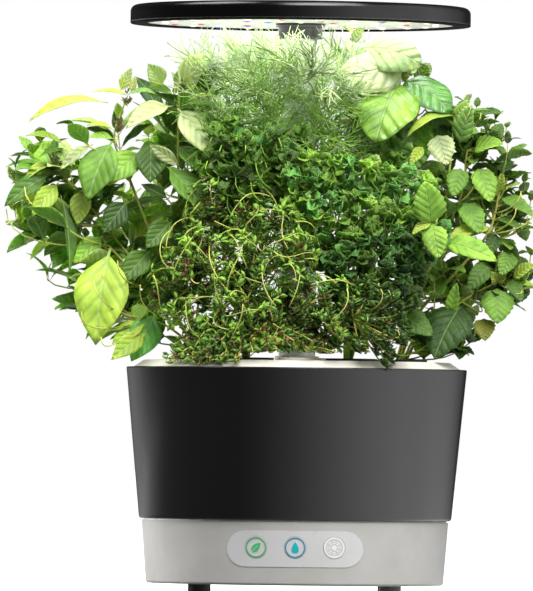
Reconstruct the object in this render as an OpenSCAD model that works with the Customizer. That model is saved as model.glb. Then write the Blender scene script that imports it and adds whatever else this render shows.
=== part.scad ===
// Countertop hydroponic garden: a round reservoir bowl on a control base, six herb pods in a
// grow deck, and a disc lamp on a telescoping centre post.
// The origin is on the surface it stands on, under the post; +Z is up and the keys face -Y.

/* [Feet and base] */
// Diameter of a foot
foot_d = 16.8; // [12:0.2:20]
// Height of the feet under the base
foot_h = 8; // [6:0.5:12]
// Distance of a foot's middle from the edge of the base
foot_inset = 22.5; // [18:0.5:26]
// Angle of the feet from the side-to-side line
foot_angle = 37.2; // [33:0.1:42]
// Height of the base
base_h = 48; // [47:1:60]
// Radius of the base at its upper edge
base_top_r = 117; // [110:0.5:124]
// How much narrower the base is at its lower edge
base_taper = 3.5; // [0:0.1:6]
// Wall thickness of the base
base_wall = 3; // [2.6:0.1:4]
// Rounding of the lower edge of the base
base_edge_r = 2.2; // [1:0.1:2.4]
// Thickness of the floor plate that closes the base
plate_t = 3; // [2.6:0.1:4]
// Distance of the plate screws from the edge of the base
plate_screw_inset = 15.5; // [12:0.5:20]
// Length of a screw below its head
screw_len = 10; // [8:0.5:14]
// Thread diameter of the screws
screw_d = 3; // [2.5:0.1:3.5]

/* [Control panel] */
// Width of the pill-shaped panel
panel_w = 103; // [90:1:110]
// Height of the panel
panel_h = 27.4; // [22:0.2:30]
// Height of the panel's middle below the upper edge of the base
panel_drop = 20.3; // [19:0.1:24]
// Thickness of the panel overlay
overlay_t = 1; // [0.8:0.1:1.4]
// How far the overlay stands proud of the base
overlay_proud = 0.3; // [0.1:0.1:0.5]
// Diameter of a key
key_d = 16.4; // [12:0.2:18]
// Distance between neighbouring keys
key_pitch = 29.5; // [24:0.5:31]
// Height of the keys above the panel's middle
key_lift = 1; // [0:0.1:2]
// Travel of a key
key_travel = 0.5; // [0.3:0.1:0.6]
// Gap round a key
key_gap = 0.2; // [0.1:0.05:0.4]

/* [Bowl] */
// Thickness of the seal between base and bowl
gasket_t = 1.2; // [0.8:0.1:2]
// Height of the bowl
bowl_h = 115.5; // [100:0.5:130]
// How far the bowl's floor reaches beyond the base
bowl_overhang = 2.2; // [0:0.1:5]
// Radius of the bowl at its rim
bowl_rim_r = 130; // [128:0.5:134]
// Wall thickness of the bowl below the deck ledge
bowl_wall = 3.2; // [2.8:0.1:4]
// Wall thickness of the bowl above the deck ledge
rim_wall = 1.6; // [1.2:0.1:1.8]
// Thickness of the bowl floor
bowl_floor = 2.6; // [2:0.1:4]
// Rounding of the lower edge of the bowl
bowl_edge_r = 2.3; // [1:0.1:3]
// Thickness of the dry column round the post
column_wall = 2.4; // [1.8:0.1:3]

/* [Grow deck and pods] */
// Depth of the deck ledge below the rim
ledge_depth = 4.7; // [4:0.1:7]
// Height of the deck top above its ledge
deck_rise = 10; // [8:0.5:14]
// Thickness of the deck
deck_t = 2.2; // [1.8:0.1:3]
// Distance of the flat part of the deck from the rim of the bowl
deck_flat_inset = 13; // [11.5:0.5:15.5]
// Gap between the deck edge and the bowl
deck_gap = 0.45; // [0.2:0.05:0.8]
// Distance of a pod's middle from the slope of the deck
pod_inset = 39; // [36:0.5:44]
// Radius of a pod basket under its flange
basket_r = 18.8; // [17:0.1:20]
// Radius of a pod basket at its foot
basket_foot_r = 14; // [12:0.1:15]
// Depth of a pod basket below the deck top
basket_depth = 56; // [45:1:70]
// Wall thickness of a basket
basket_wall = 1.2; // [1:0.1:1.6]
// Width of a basket flange
flange_w = 2.7; // [2:0.1:3.5]
// Thickness of a basket flange
flange_t = 2; // [1.4:0.1:2.4]
// Gap between a pod basket and its hole
basket_gap = 0.4; // [0.2:0.05:0.6]
// Gap between a sponge and its basket
sponge_gap = 0.3; // [0.1:0.05:0.5]
// Depth of the sponge top below the deck top
sponge_drop = 2; // [1:0.5:5]
// Radius of the fill port
port_r = 12; // [9:0.5:12.5]
// Distance of the fill port's middle from the slope of the deck
port_inset = 17; // [16:0.5:20]
// Thickness of the fill port cover
cover_t = 1.8; // [1.4:0.1:2.4]

/* [Pump and float] */
// Radius of the pump housing
pump_r = 20; // [18:0.5:22]
// Height of the pump housing above its strainer
pump_h = 27; // [25:0.5:32]
// Thickness of the strainer plate under the pump
strainer_t = 3.2; // [3:0.1:4]
// Distance of the pump's middle from the foot of the bowl's wall
pump_inset = 33.2; // [30:0.2:37]
// Outer radius of the riser tube
riser_r = 5; // [4:0.1:5.5]
// Wall thickness of the riser tube
riser_wall = 1.4; // [1:0.1:1.8]
// Radius of the float
float_r = 11; // [9:0.5:12]
// Height of the float
float_h = 12; // [10:0.5:14]
// Radius of the rod that guides the float
rod_r = 3; // [2.5:0.1:3.5]
// Height of the float's lower stop above the bowl floor
float_stop = 36; // [30:1:40]

/* [Post and lamp] */
// Height of the lamp disc above the tallest herb, at rest
lamp_clear = 5.7; // [4:0.1:40]
// Outer radius of the fixed sleeve
sleeve_r = 14; // [13.6:0.1:15]
// Wall thickness of the sleeve
sleeve_wall = 1; // [0.8:0.1:1.3]
// Height of the sleeve above the grow deck
sleeve_rise = 122; // [100:1:130]
// Outer radius of the sliding post
post_r = 12; // [11.6:0.1:12.2]
// Wall thickness of the sliding post
post_wall = 1.2; // [1:0.1:1.5]
// How far the lamp can be raised
lamp_travel = 48; // [30:1:60]
// Length of the sliding post that stays in the sleeve when the lamp is up
post_guide = 40; // [36:1:50]
// Height of the friction bush above the sleeve
bush_h = 8; // [5:0.5:12]
// Outer radius of the friction bush
bush_r = 16; // [15.6:0.1:18]
// Length of the bush skirt inside the sleeve
skirt_len = 12; // [8:0.5:14]
// Radius of the coiled lead inside the post
lead_r = 4; // [3:0.1:5]
// Radius of the lamp disc
hood_r = 130; // [124:0.5:140]
// Height of the lamp disc
hood_h = 14.3; // [13.5:0.1:20]
// Wall thickness of the lamp disc
hood_wall = 2.4; // [2:0.1:2.8]
// Rounding of the upper edge of the lamp disc
hood_edge_r = 5; // [3:0.5:6]
// Width of the rim round the light panel
bezel_w = 12; // [11.5:0.5:14]
// Thickness of that rim
bezel_t = 1.3; // [1.2:0.1:2]
// Rounding of the lower edge of the lamp disc
bezel_edge_r = 0.9; // [0.4:0.1:1.1]
// Thickness of the circuit boards
board_t = 1.6; // [1:0.1:2]
// Thickness of the heat spreader
spreader_t = 2; // [1.5:0.1:3]
// Radius of the hub under the lamp disc
hub_r = 16.8; // [16:0.1:18]
// Radius of the hub flange
hub_flange_r = 19; // [18.5:0.1:22]
// Height of the hub under the light panel
hub_h = 11.6; // [10:0.1:16]
// Width of an LED
led_w = 4.6; // [3:0.1:5.5]
// Height of an LED
led_h = 0.9; // [0.5:0.1:1.1]
// Distance of the outer ring of LEDs from the rim
led_edge = 14; // [8:0.5:18]
// Distance between the rings of LEDs
led_ring_pitch = 23; // [18:0.5:25]
// Width of the driver board
driver_w = 36; // [20:1:44]
// Length of the driver board
driver_len = 40; // [20:1:60]

/* [Hidden] */
// Running clearance of pins and tubes, measured on the radius
run = 0.05;
// Clearance of fixed pieces, measured on the radius
fix = 0.3;
$fn = 72;

// Heights of the stacked pieces
// Each clump is a ball of foliage: x, y, height above the deck top, and radius.
// Each blade is one large leaf: its base, its tip and its width.

thai_basil_clumps = [
    [-108, -10, 52, 28], [-140, -16, 44, 24], [-120, 14, 98, 38], [-158, -6, 92, 27],
    [-104, 0, 142, 30], [-146, 2, 132, 30], [-184, -4, 142, 20], [-138, -6, 174, 26],
    [-93, 3, 180, 27], [-90, 6, 206, 19], [-126, 46, 122, 34], [-112, 46, 170, 30],
    [-114, 44, 68, 30], [-86, -12, 104, 20], [-76, 5, 150, 18]];
thai_basil_blades = [
    [[-140, -14, 190], [-206, -18, 181], 30], [[-188, -6, 138], [-225, -10, 114], 26],
    [[-178, -6, 134], [-174, -12, 63], 18], [[-142, -26, 80], [-152, -30, 12], 40],
    [[-126, -26, 52], [-126, -32, 6], 24], [[-182, 0, 146], [-212, -4, 168], 18]];

dill_clumps = [
    [-32, 86, 54, 28], [-37, 87, 100, 34], [-26, 98, 148, 40], [-34, 73, 184, 37],
    [-41, 54, 208, 30], [-4, 64, 214, 32], [28, 76, 214, 26], [8, 98, 180, 32],
    [-44, 6, 214, 22], [-34, -24, 218, 20], [2, -40, 214, 24], [-54, 43, 184, 24],
    [34, -26, 214, 22], [-8, 116, 108, 28]];

genovese_basil_clumps = [
    [43, 74, 48, 22], [54, 78, 88, 28], [68, 66, 126, 30], [81, 44, 160, 30],
    [64, 20, 200, 25], [88, 14, 192, 26], [105, 17, 202, 17], [65, 32, 228, 20],
    [94, 42, 207, 27], [62, 69, 172, 26], [50, 98, 130, 26], [84, 83, 110, 23]];
genovese_basil_blades = [
    [[64, 12, 212], [42, 4, 248], 24], [[70, 26, 232], [90, 20, 251], 24],
    [[92, 6, 196], [108, -12, 176], 36], [[62, 4, 196], [38, -6, 176], 32]];

mint_clumps = [
    [90, -8, 36, 20], [114, -14, 30, 22], [106, -10, 68, 30], [146, -9, 52, 24],
    [116, -4, 106, 30], [158, -8, 80, 20], [136, -5, 130, 29], [108, -16, 142, 22],
    [156, -6, 146, 20], [134, -4, 166, 24], [124, 38, 72, 32], [128, 34, 120, 28]];
mint_blades = [
    [[152, -8, 140], [180, -12, 112], 26], [[148, -6, 160], [154, -10, 188], 22],
    [[128, -8, 176], [131, -12, 200], 20], [[160, -10, 84], [181, -14, 70], 26],
    [[158, -12, 66], [170, -16, 48], 24], [[120, -28, 36], [128, -32, 4], 38],
    [[114, -26, 146], [100, -34, 120], 28]];

parsley_clumps = [
    [41, -66, 41, 18], [44, -64, 76, 26], [68, -61, 60, 24], [60, -58, 101, 28],
    [30, -56, 114, 26], [78, -53, 127, 24], [51, -46, 148, 27], [18, -50, 152, 24],
    [-10, -52, 149, 22], [-35, -46, 152, 20], [4, -58, 125, 20], [30, -64, 82, 18],
    [92, -56, 96, 18], [74, -33, 160, 18]];

thyme_clumps = [
    [-44, -72, 22, 19], [-68, -74, 34, 24], [-38, -96, 32, 25], [-76, -68, 78, 26],
    [-44, -80, 68, 28], [-8, -98, 50, 25], [-62, -60, 110, 23], [-30, -76, 102, 22],
    [-8, -88, 86, 22], [22, -112, 42, 20], [-96, -64, 50, 18], [44, -112, 28, 17]];

base_bottom_r = base_top_r - base_taper;
bowl_bottom_r = base_top_r + bowl_overhang;
base_z0 = foot_h;
base_z1 = base_z0 + base_h;
bowl_z0 = base_z1 + gasket_t;
bowl_z1 = bowl_z0 + bowl_h;
floor_z = bowl_z0 + bowl_floor;
ledge_z = bowl_z1 - ledge_depth;
deck_z = ledge_z + deck_rise;
deck_under = deck_z - deck_t;
hood_z0 = deck_z + herb_top() + lamp_clear;
hood_z1 = hood_z0 + hood_h;
panel_z0 = hood_z0 + bezel_t;
spreader_z0 = panel_z0 + board_t;
spreader_z1 = spreader_z0 + spreader_t;
lid_z = hood_z1 - hood_wall;

// Base details
plate_r = base_bottom_r - base_wall - fix;
plate_z1 = base_z0 + plate_t;
socket_depth = 20;
socket_wall = 3;
socket_floor = 3;
socket_flange_w = 14;
socket_z = base_z1 - base_wall - socket_depth;
head_r = screw_d;
head_h = 1.6;
sink_h = head_h + 0.2;
boss_r = screw_d / 2 + 3;
plate_screw_r = base_bottom_r - plate_screw_inset;
plate_screw_angles = [60, 120, 240, 300];
foot_ring_r = base_bottom_r - foot_inset;
foot_peg_r = 3;
foot_peg_h = plate_t - 1;

// Control panel details; y runs inward from the front face
panel_z = base_z1 - panel_drop;
key_z = panel_z + key_lift;
key_r = key_d / 2;
key_guide_len = 14;
guide_end_y = key_guide_len - base_top_r;
key_flange_t = 1.5;
key_flange_w = 1.6;
switch_h = 3;
switch_w = 6;
switch_bore_r = 1.75;
switch_bore_h = 1.8;
board_gap = 10;
board_y = guide_end_y + board_gap;
switch_y = board_y - switch_h;
key_tip_bite = 1;
key_stem_r = 3;
key_stem_end = switch_y - key_travel - 0.5;
board_half_w = panel_w / 2 - 1.5;
board_half_h = panel_h / 2 - 0.7;
post_x = board_half_w - 4;
post_dz = board_half_h - 4;

// Power inlet at the back
jack_z = base_z0 + 16;
jack_inset = 3.5;
jack_face_y = base_bottom_r - jack_inset;
jack_sink = 0.6;
jack_w = 9;
jack_h = 11;
jack_len = 13;
jack_nose_r = 5;
jack_bore_r = 2.8;
jack_bore_len = 9.5;
jack_pin_r = 1;

// Deck details
pod_count = 6;
deck_edge_r = bowl_r(ledge_z) - rim_wall - deck_gap;
deck_flat_r = bowl_rim_r - deck_flat_inset;
pod_ring_r = deck_flat_r - pod_inset;
port_ring_r = deck_flat_r - port_inset;
column_r0 = sleeve_r + 0.4;
column_r1 = column_r0 + column_wall;
column_foot_w = 6;
collar_h = 4;
basket_z0 = deck_z - basket_depth;
sponge_z0 = basket_z0 + basket_wall;
sponge_z1 = deck_z - sponge_drop;
pivot_r = 2.4;
pivot_len = 5;
port_angle = 270;
port_lip = 1.8;
pivot_offset = port_r + port_lip + pivot_r + 1;

// Root crown of a plant: width beyond the stem, and height above the deck
crown_w = 1.5;
crown_h = 6;

// Pump and float details
floor_cove = 4;
floor_edge_r = bowl_r(floor_z) - bowl_wall - floor_cove;
pump_angle = 90;
pump_z0 = floor_z + strainer_t;
pump_z1 = pump_z0 + pump_h;
pump_wall = 3;
pump_ring_r = bowl_bottom_r - pump_inset;
cavity_h = pump_h - 10;
rotor_r = 1.5;
impeller_r = pump_r - pump_wall - 3.5;
riser_offset = 12;
riser_bite = 5;
float_angle = 30;
float_inset = 21;
float_ring_r = deck_flat_r - float_inset;
stop_t = 2;
top_stop_h = 12.7;
stop_z = floor_z + float_stop;

// Post details
sleeve_r0 = sleeve_r - sleeve_wall;
sleeve_z0 = socket_z + socket_floor;
sleeve_z1 = deck_z + sleeve_rise;
post_z0 = sleeve_z1 - post_guide - lamp_travel;
plug_h = 12;
plug_r = sleeve_r0 - 0.1;
hub_z0 = panel_z0 - hub_h;
hub_socket = 8;
hub_neck_r = 14;
hub_flange_t = 2.8;
hub_lip_t = 1;
hub_groove_t = 0.8;
post_z1 = hub_z0 + hub_socket;

// Lamp details
light_r = hood_r - bezel_w;
lamp_board_r = light_r + 1;
spreader_r = light_r - 4;
hood_screw_r = hood_r - bezel_w / 2 - 0.5;
hood_screw_count = 6;
standoff_ring_r = 70;
standoff_r = 3;
led_counts = [8, 12, 18, 24];
driver_x = 40;
capacitor_r = 5;
capacitor_h = 4;

// Leads inside the base
base_lead_r = 1.6;
clip_wall = 1.4;
lead_z0 = socket_z - 2;
wire_z = lead_z0 - 5;
wire_x = 26;
wire_y = board_y + 15;
wire_start = 9;
wire_side = [-74, 10];

// ---------------------------------------------------------------- helpers

function base_r(z) = base_bottom_r + (base_top_r - base_bottom_r) * (z - base_z0) / base_h;
function bowl_r(z) = bowl_bottom_r + (bowl_rim_r - bowl_bottom_r) * (z - bowl_z0) / bowl_h;
function pod_angle(i) = (i - 1) * 360 / pod_count;
function polar(r, a) = [r * cos(a), r * sin(a)];
function pod_xy(i) = polar(pod_ring_r, pod_angle(i));
function arc(c, r, a0, a1, n = 6) =
    [for (i = [0:n]) let (a = a0 + (a1 - a0) * i / n) [c.x + r * cos(a), c.y + r * sin(a)]];

// A tube or disc between two heights
module ring(r1, r0, z0, z1) {
    translate([0, 0, z0])
        difference() {
            cylinder(r = r1, h = z1 - z0);
            if (r0 > 0) translate([0, 0, -1]) cylinder(r = r0, h = z1 - z0 + 2);
        }
}

// A cylinder along Y between two depths
module y_rod(x, z, r, y0, y1) {
    translate([x, y0, z]) rotate([-90, 0, 0]) cylinder(r = r, h = y1 - y0);
}

// A straight round bar between two points
module bar(a, b, r) {
    d = b - a;
    translate(a) rotate([0, acos(d.z / norm(d)), atan2(d.y, d.x)]) cylinder(r = r, h = norm(d));
}

// A run of round bars with a square clip at each bend
module run_of_bars(points, r) {
    for (i = [0:len(points) - 2]) bar(points[i], points[i + 1], r);
    for (i = [1:1:len(points) - 2]) translate(points[i]) cube(2 * r + clip_wall, center = true);
}

// A pan-head screw that points up, its head on z = 0
module screw() {
    cylinder(r = screw_d / 2, h = screw_len);
    translate([0, 0, -head_h]) cylinder(r = head_r, h = head_h);
}

// ---------------------------------------------------------------- base

module base_outline(grow = 0) {
    polygon(concat(
        [[0, base_z0], [base_r(base_z0) - base_edge_r, base_z0]],
        arc([base_r(base_z0 + base_edge_r) - base_edge_r + grow, base_z0 + base_edge_r],
            base_edge_r, -90, 0),
        [[base_r(base_z1) + grow, base_z1], [0, base_z1]]));
}

module base_inside() {
    polygon([[0, base_z0 - 1], [base_r(base_z0 - 1) - base_wall, base_z0 - 1],
             [base_r(base_z1 - base_wall) - base_wall, base_z1 - base_wall], [0, base_z1 - base_wall]]);
}

module pill_prism(w, h) {
    translate([0, guide_end_y, panel_z]) rotate([90, 0, 0]) linear_extrude(30) {
        square([w - h, h], center = true);
        for (s = [-1, 1]) translate([s * (w - h) / 2, 0]) circle(d = h);
    }
}

module each_key() {
    for (i = [-1:1]) translate([i * key_pitch, 0, 0]) children();
}

module base_shell() {
    color([0.76, 0.75, 0.73])
    difference() {
        union() {
            difference() {
                rotate_extrude() base_outline();
                rotate_extrude() base_inside();
            }
            for (a = plate_screw_angles)
                translate(polar(plate_screw_r, a))
                    ring(boss_r, 0, plate_z1, base_z1 - base_wall / 2);
            intersection() {
                rotate_extrude() base_outline();
                union() {
                    each_key() y_rod(0, key_z, key_r + key_gap + 1.8, -base_top_r, guide_end_y);
                    for (x = [-post_x, post_x], s = [-1, 1])
                        y_rod(x, panel_z + s * post_dz, boss_r - 1, -base_top_r, board_y);
                    y_rod(0, jack_z, jack_nose_r + 3, jack_face_y, base_top_r);
                }
            }
        }
        ring(sleeve_r + fix, 0, sleeve_z0, base_z1 + 1);
        for (a = plate_screw_angles)
            translate(polar(plate_screw_r, a))
                ring(screw_d / 2 + run, 0, plate_z1 - 1, plate_z1 + screw_len);
        each_key() y_rod(0, key_z, key_r + key_gap, -base_top_r - 1, guide_end_y + 1);
        for (x = [-post_x, post_x], s = [-1, 1])
            y_rod(x, panel_z + s * post_dz, screw_d / 2 + run, board_y - screw_len, board_y + 1);
        y_rod(0, jack_z, jack_nose_r + fix, jack_face_y - 1, base_top_r + 1);
        intersection() {
            pill_prism(panel_w + 2 * run, panel_h + 2 * run);
            difference() {
                rotate_extrude() base_outline(2);
                rotate_extrude() base_outline(overlay_proud - overlay_t);
            }
        }
    }
}

module post_socket() {
    color([0.2, 0.2, 0.21])
    difference() {
        union() {
            ring(sleeve_r + fix + socket_wall, 0, socket_z, base_z1 - base_wall);
            ring(sleeve_r + fix + socket_flange_w, 0,
                 base_z1 - base_wall - socket_floor, base_z1 - base_wall);
        }
        ring(sleeve_r + fix, 0, sleeve_z0, base_z1);
        ring(lead_r + fix, 0, socket_z - 1, sleeve_z0 + 1);
    }
}

module base_plate() {
    color([0.2, 0.2, 0.21])
    difference() {
        ring(plate_r, 0, base_z0, plate_z1);
        for (a = plate_screw_angles)
            translate(polar(plate_screw_r, a)) {
                ring(screw_d / 2 + fix, 0, base_z0 - 1, plate_z1 + 1);
                ring(head_r + fix, 0, base_z0 - 1, base_z0 + sink_h);
            }
        for (i = [1:4])
            translate(foot_xy(i)) ring(foot_peg_r + run, 0, base_z0 - 1, base_z0 + foot_peg_h + 0.2);
        for (x = [-50:10:50]) translate([x, 0, base_z0 - 1]) vent_slot();
    }
}

module vent_slot() {
    linear_extrude(plate_t + 2) {
        square([3, 40], center = true);
        for (s = [-20, 20]) translate([0, s]) circle(r = 1.5);
    }
}

module base_gasket() {
    color([0.93, 0.93, 0.92])
        ring(base_top_r - 1.5, base_top_r - 6, base_z1, bowl_z0);
}

module base_screws() {
    color([0.55, 0.55, 0.57]) {
        for (a = plate_screw_angles)
            translate(concat(polar(plate_screw_r, a), [base_z0 + sink_h])) screw();
        for (x = [-post_x, post_x], s = [-1, 1])
            translate([x, board_y + board_t, panel_z + s * post_dz]) rotate([90, 0, 0]) screw();
    }
}

function foot_xy(i) = [(i % 2 == 1 ? -1 : 1) * foot_ring_r * cos(foot_angle),
                       (i <= 2 ? -1 : 1) * foot_ring_r * sin(foot_angle)];

module foot(i) {
    color([0.3, 0.3, 0.31])
    translate(foot_xy(i)) {
        rotate_extrude()
            polygon(concat([[0, 0]], arc([foot_d / 2 - 1, 1], 1, -90, 0),
                           [[foot_d / 2, foot_h], [0, foot_h]]));
        ring(foot_peg_r, 0, foot_h - 1, foot_h + foot_peg_h);
    }
}

module control_overlay() {
    color([0.82, 0.82, 0.83])
    difference() {
        intersection() {
            pill_prism(panel_w, panel_h);
            difference() {
                rotate_extrude() base_outline(overlay_proud);
                rotate_extrude() base_outline(overlay_proud - overlay_t);
            }
        }
        each_key() y_rod(0, key_z, key_r + key_gap, -base_top_r - 3, guide_end_y);
    }
}

module key(i) {
    color([0.84, 0.84, 0.85]) {
        intersection() {
            rotate_extrude() base_outline(overlay_proud);
            y_rod(i * key_pitch, key_z, key_r, -base_top_r - 3, guide_end_y + key_flange_t / 2);
        }
        y_rod(i * key_pitch, key_z, key_r + key_flange_w, guide_end_y, guide_end_y + key_flange_t);
        y_rod(i * key_pitch, key_z, key_stem_r, guide_end_y, key_stem_end);
        y_rod(i * key_pitch, key_z, switch_bore_r - run, guide_end_y, switch_y + key_tip_bite);
    }
}

module tact_switches() {
    color([0.12, 0.12, 0.13])
    each_key() difference() {
        translate([-switch_w / 2, switch_y, key_z - switch_w / 2]) cube([switch_w, switch_h, switch_w]);
        y_rod(0, key_z, switch_bore_r, switch_y - 1, switch_y + switch_bore_h);
    }
}

module control_board() {
    color([0.1, 0.35, 0.2])
    difference() {
        translate([-board_half_w, board_y, panel_z - board_half_h])
            cube([2 * board_half_w, board_t, 2 * board_half_h]);
        for (x = [-post_x, post_x], s = [-1, 1])
            y_rod(x, panel_z + s * post_dz, screw_d / 2 + fix / 2, board_y - 1, board_y + board_t + 1);
    }
}

module base_wiring() {
    color([0.08, 0.08, 0.08]) {
        run_of_bars([[0, 0, lead_z0], [0, 0, wire_z], [wire_x, wire_y, wire_z],
                     [wire_x, board_y + board_t, wire_z]], base_lead_r);
        run_of_bars([[0, jack_face_y - jack_len, wire_z], [0, jack_face_y - jack_len - wire_start, wire_z],
                     [wire_side.x, wire_side.y, wire_z], [-wire_x, wire_y, wire_z],
                     [-wire_x, board_y + board_t, wire_z]], base_lead_r);
    }
}

module dc_jack() {
    color([0.09, 0.09, 0.1]) {
        difference() {
            union() {
                translate([-jack_w / 2, jack_face_y - jack_len, jack_z - jack_h / 2])
                    cube([jack_w, jack_len, jack_h]);
                y_rod(0, jack_z, jack_nose_r, jack_face_y - 1, base_r(jack_z) - jack_sink);
            }
            y_rod(0, jack_z, jack_bore_r, base_r(jack_z) - jack_sink - jack_bore_len, base_top_r + 1);
        }
        y_rod(0, jack_z, jack_pin_r, jack_face_y - jack_len + 1, base_r(jack_z) - 2);
    }
}

// ---------------------------------------------------------------- bowl

module bowl() {
    color([0.05, 0.05, 0.055])
    rotate_extrude() {
        polygon(concat(
            [[column_r1 + fix, bowl_z0], [bowl_r(bowl_z0) - bowl_edge_r, bowl_z0]],
            arc([bowl_r(bowl_z0 + bowl_edge_r) - bowl_edge_r, bowl_z0 + bowl_edge_r], bowl_edge_r, -90, 0),
            arc([bowl_rim_r - rim_wall / 2, bowl_z1 - rim_wall / 2], rim_wall / 2, 0, 180),
            [[bowl_r(ledge_z) - rim_wall, ledge_z], [bowl_r(ledge_z) - bowl_wall, ledge_z],
             [bowl_r(floor_z + floor_cove) - bowl_wall, floor_z + floor_cove], [floor_edge_r, floor_z],
             [column_r1 + fix, floor_z]]));
    }
}

module dry_column() {
    color([0.05, 0.05, 0.055]) {
        ring(column_r1, column_r0, bowl_z0, deck_under - fix);
        ring(column_r1 + column_foot_w, column_r1 - column_wall / 2, floor_z, floor_z + column_wall);
    }
}

module at_pump() {
    translate(concat(polar(pump_ring_r, pump_angle), [0])) children();
}

module strainer() {
    color([0.35, 0.37, 0.4])
    at_pump() difference() {
        ring(pump_r, 0, floor_z, pump_z0);
        ring(rotor_r + run, 0, pump_z0 - 2, pump_z0 + 1);
        for (a = [0:45:315]) rotate(a) translate([pump_r - 8, 0, 0]) ring(2, 0, floor_z - 1, pump_z0 + 1);
    }
}

module pump_housing() {
    color([0.16, 0.17, 0.19])
    at_pump() difference() {
        ring(pump_r, 0, pump_z0, pump_z1);
        ring(pump_r - pump_wall, 0, pump_z0 - 1, pump_z0 + cavity_h);
        ring(rotor_r + run, 0, pump_z0, pump_z0 + cavity_h + 3);
        for (a = [15:30:345]) rotate(a) translate([pump_r - pump_wall - 1, -1.2, pump_z0 + 3])
            cube([pump_wall + 2, 2.4, 8]);
        translate([riser_offset, 0, 0]) {
            ring(riser_r + run, 0, pump_z1 - riser_bite, pump_z1 + 1);
            ring(riser_r - riser_wall, 0, pump_z0 + cavity_h - 1, pump_z1);
        }
    }
}

module pump_rotor() {
    color([0.85, 0.86, 0.88])
    at_pump() {
        ring(rotor_r, 0, pump_z0 - 1.7, pump_z0 + cavity_h + 2.7);
        ring(4.5, 0, pump_z0 + 1, pump_z0 + cavity_h - 1);
        for (a = [0:60:300]) rotate(a) translate([3.5, -0.7, pump_z0 + 2])
            cube([impeller_r - 3.5, 1.4, cavity_h - 4]);
    }
}

module riser_tube() {
    color([0.8, 0.85, 0.88])
    at_pump() translate([riser_offset, 0, 0])
        ring(riser_r, riser_r - riser_wall, pump_z1 - riser_bite, deck_under);
}

module at_float() {
    translate(concat(polar(float_ring_r, float_angle), [0])) children();
}

module float_guide() {
    color([0.8, 0.8, 0.8])
    at_float() {
        ring(rod_r, 0, stop_z - stop_t, deck_under);
        ring(float_r - 4, 0, stop_z - stop_t, stop_z);
        ring(float_r - 2, 0, deck_under - top_stop_h, deck_under);
    }
}

module float() {
    color([0.95, 0.55, 0.2])
    at_float() ring(float_r, rod_r + run, stop_z, stop_z + float_h);
}

// ---------------------------------------------------------------- deck and pods

function port_xy() = polar(port_ring_r, port_angle);
function pivot_xy() = polar(port_ring_r - 3, port_angle) + [pivot_offset, 0];

module grow_deck() {
    color([0.93, 0.91, 0.86])
    difference() {
        union() {
            rotate_extrude()
                polygon([[column_r0, deck_under], [deck_flat_r - 0.8, deck_under],
                         [deck_edge_r - 2.2, ledge_z + 2.2], [deck_edge_r - 2.2, ledge_z],
                         [deck_edge_r, ledge_z], [deck_edge_r, ledge_z + 3], [deck_flat_r, deck_z],
                         [column_r1, deck_z], [column_r1, deck_z + collar_h],
                         [column_r0, deck_z + collar_h]]);
            translate(port_xy()) ring(port_r + port_lip, 0, deck_under - 4, deck_z - 0.01);
            translate(pivot_xy()) ring(pivot_r + 2, 0, deck_under - 5, deck_under + 1);
        }
        for (i = [1:pod_count])
            translate(pod_xy(i)) ring(basket_r + basket_gap, 0, deck_under - 1, deck_z + 1);
        translate(port_xy()) ring(port_r, 0, deck_under - 5, deck_z + 1);
        translate(pivot_xy()) ring(pivot_r + run, 0, deck_under - 6, deck_z + 1);
    }
}

module fill_cover() {
    color([0.9, 0.89, 0.85])
    union() {
        translate(port_xy()) ring(port_r + port_lip, 0, deck_z + 0.2, deck_z + 0.2 + cover_t);
        translate(pivot_xy()) {
            ring(pivot_r + 2, 0, deck_z + 0.2, deck_z + 0.2 + cover_t);
            ring(pivot_r, 0, deck_z - pivot_len, deck_z + 1);
        }
        bridge = pivot_xy() - port_xy();
        translate(port_xy()) rotate(atan2(bridge.y, bridge.x))
            translate([0, -4, deck_z + 0.2]) cube([norm(bridge), 8, cover_t]);
        translate(port_xy() - [port_r - 3, 0]) ring(2.5, 0, deck_z + 1, deck_z + 0.2 + cover_t + 2);
    }
}

module basket(i) {
    color([0.13, 0.13, 0.14])
    translate(pod_xy(i)) difference() {
        rotate_extrude()
            polygon([[4, basket_z0], [basket_foot_r, basket_z0], [basket_r, deck_z],
                     [basket_r + flange_w, deck_z], [basket_r + flange_w, deck_z + flange_t],
                     [basket_r - basket_wall, deck_z + flange_t], [basket_foot_r - basket_wall, sponge_z0],
                     [4, sponge_z0]]);
        for (a = [0:60:300]) rotate(a) translate([basket_foot_r - 4, -1.5, basket_z0 + 6])
            cube([10, 3, basket_depth - 20]);
    }
}

module sponge(i) {
    color([0.24, 0.17, 0.12])
    translate(concat(pod_xy(i), [sponge_z0]))
        cylinder(r1 = basket_foot_r - basket_wall - sponge_gap,
                 r2 = basket_foot_r - basket_wall - sponge_gap
                      + (basket_r - basket_foot_r) * (sponge_z1 - sponge_z0)
                        / (deck_z + flange_t - sponge_z0),
                 h = sponge_z1 - sponge_z0);
}

// ---------------------------------------------------------------- plants
// Height of the tallest herb above the deck
function herb_top() = max(concat(
    [for (c = concat(thai_basil_clumps, dill_clumps, genovese_basil_clumps, mint_clumps)) c.z + c[3]],
    [for (b = concat(thai_basil_blades, genovese_basil_blades, mint_blades)) max(b[0].z, b[1].z)]));

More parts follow.
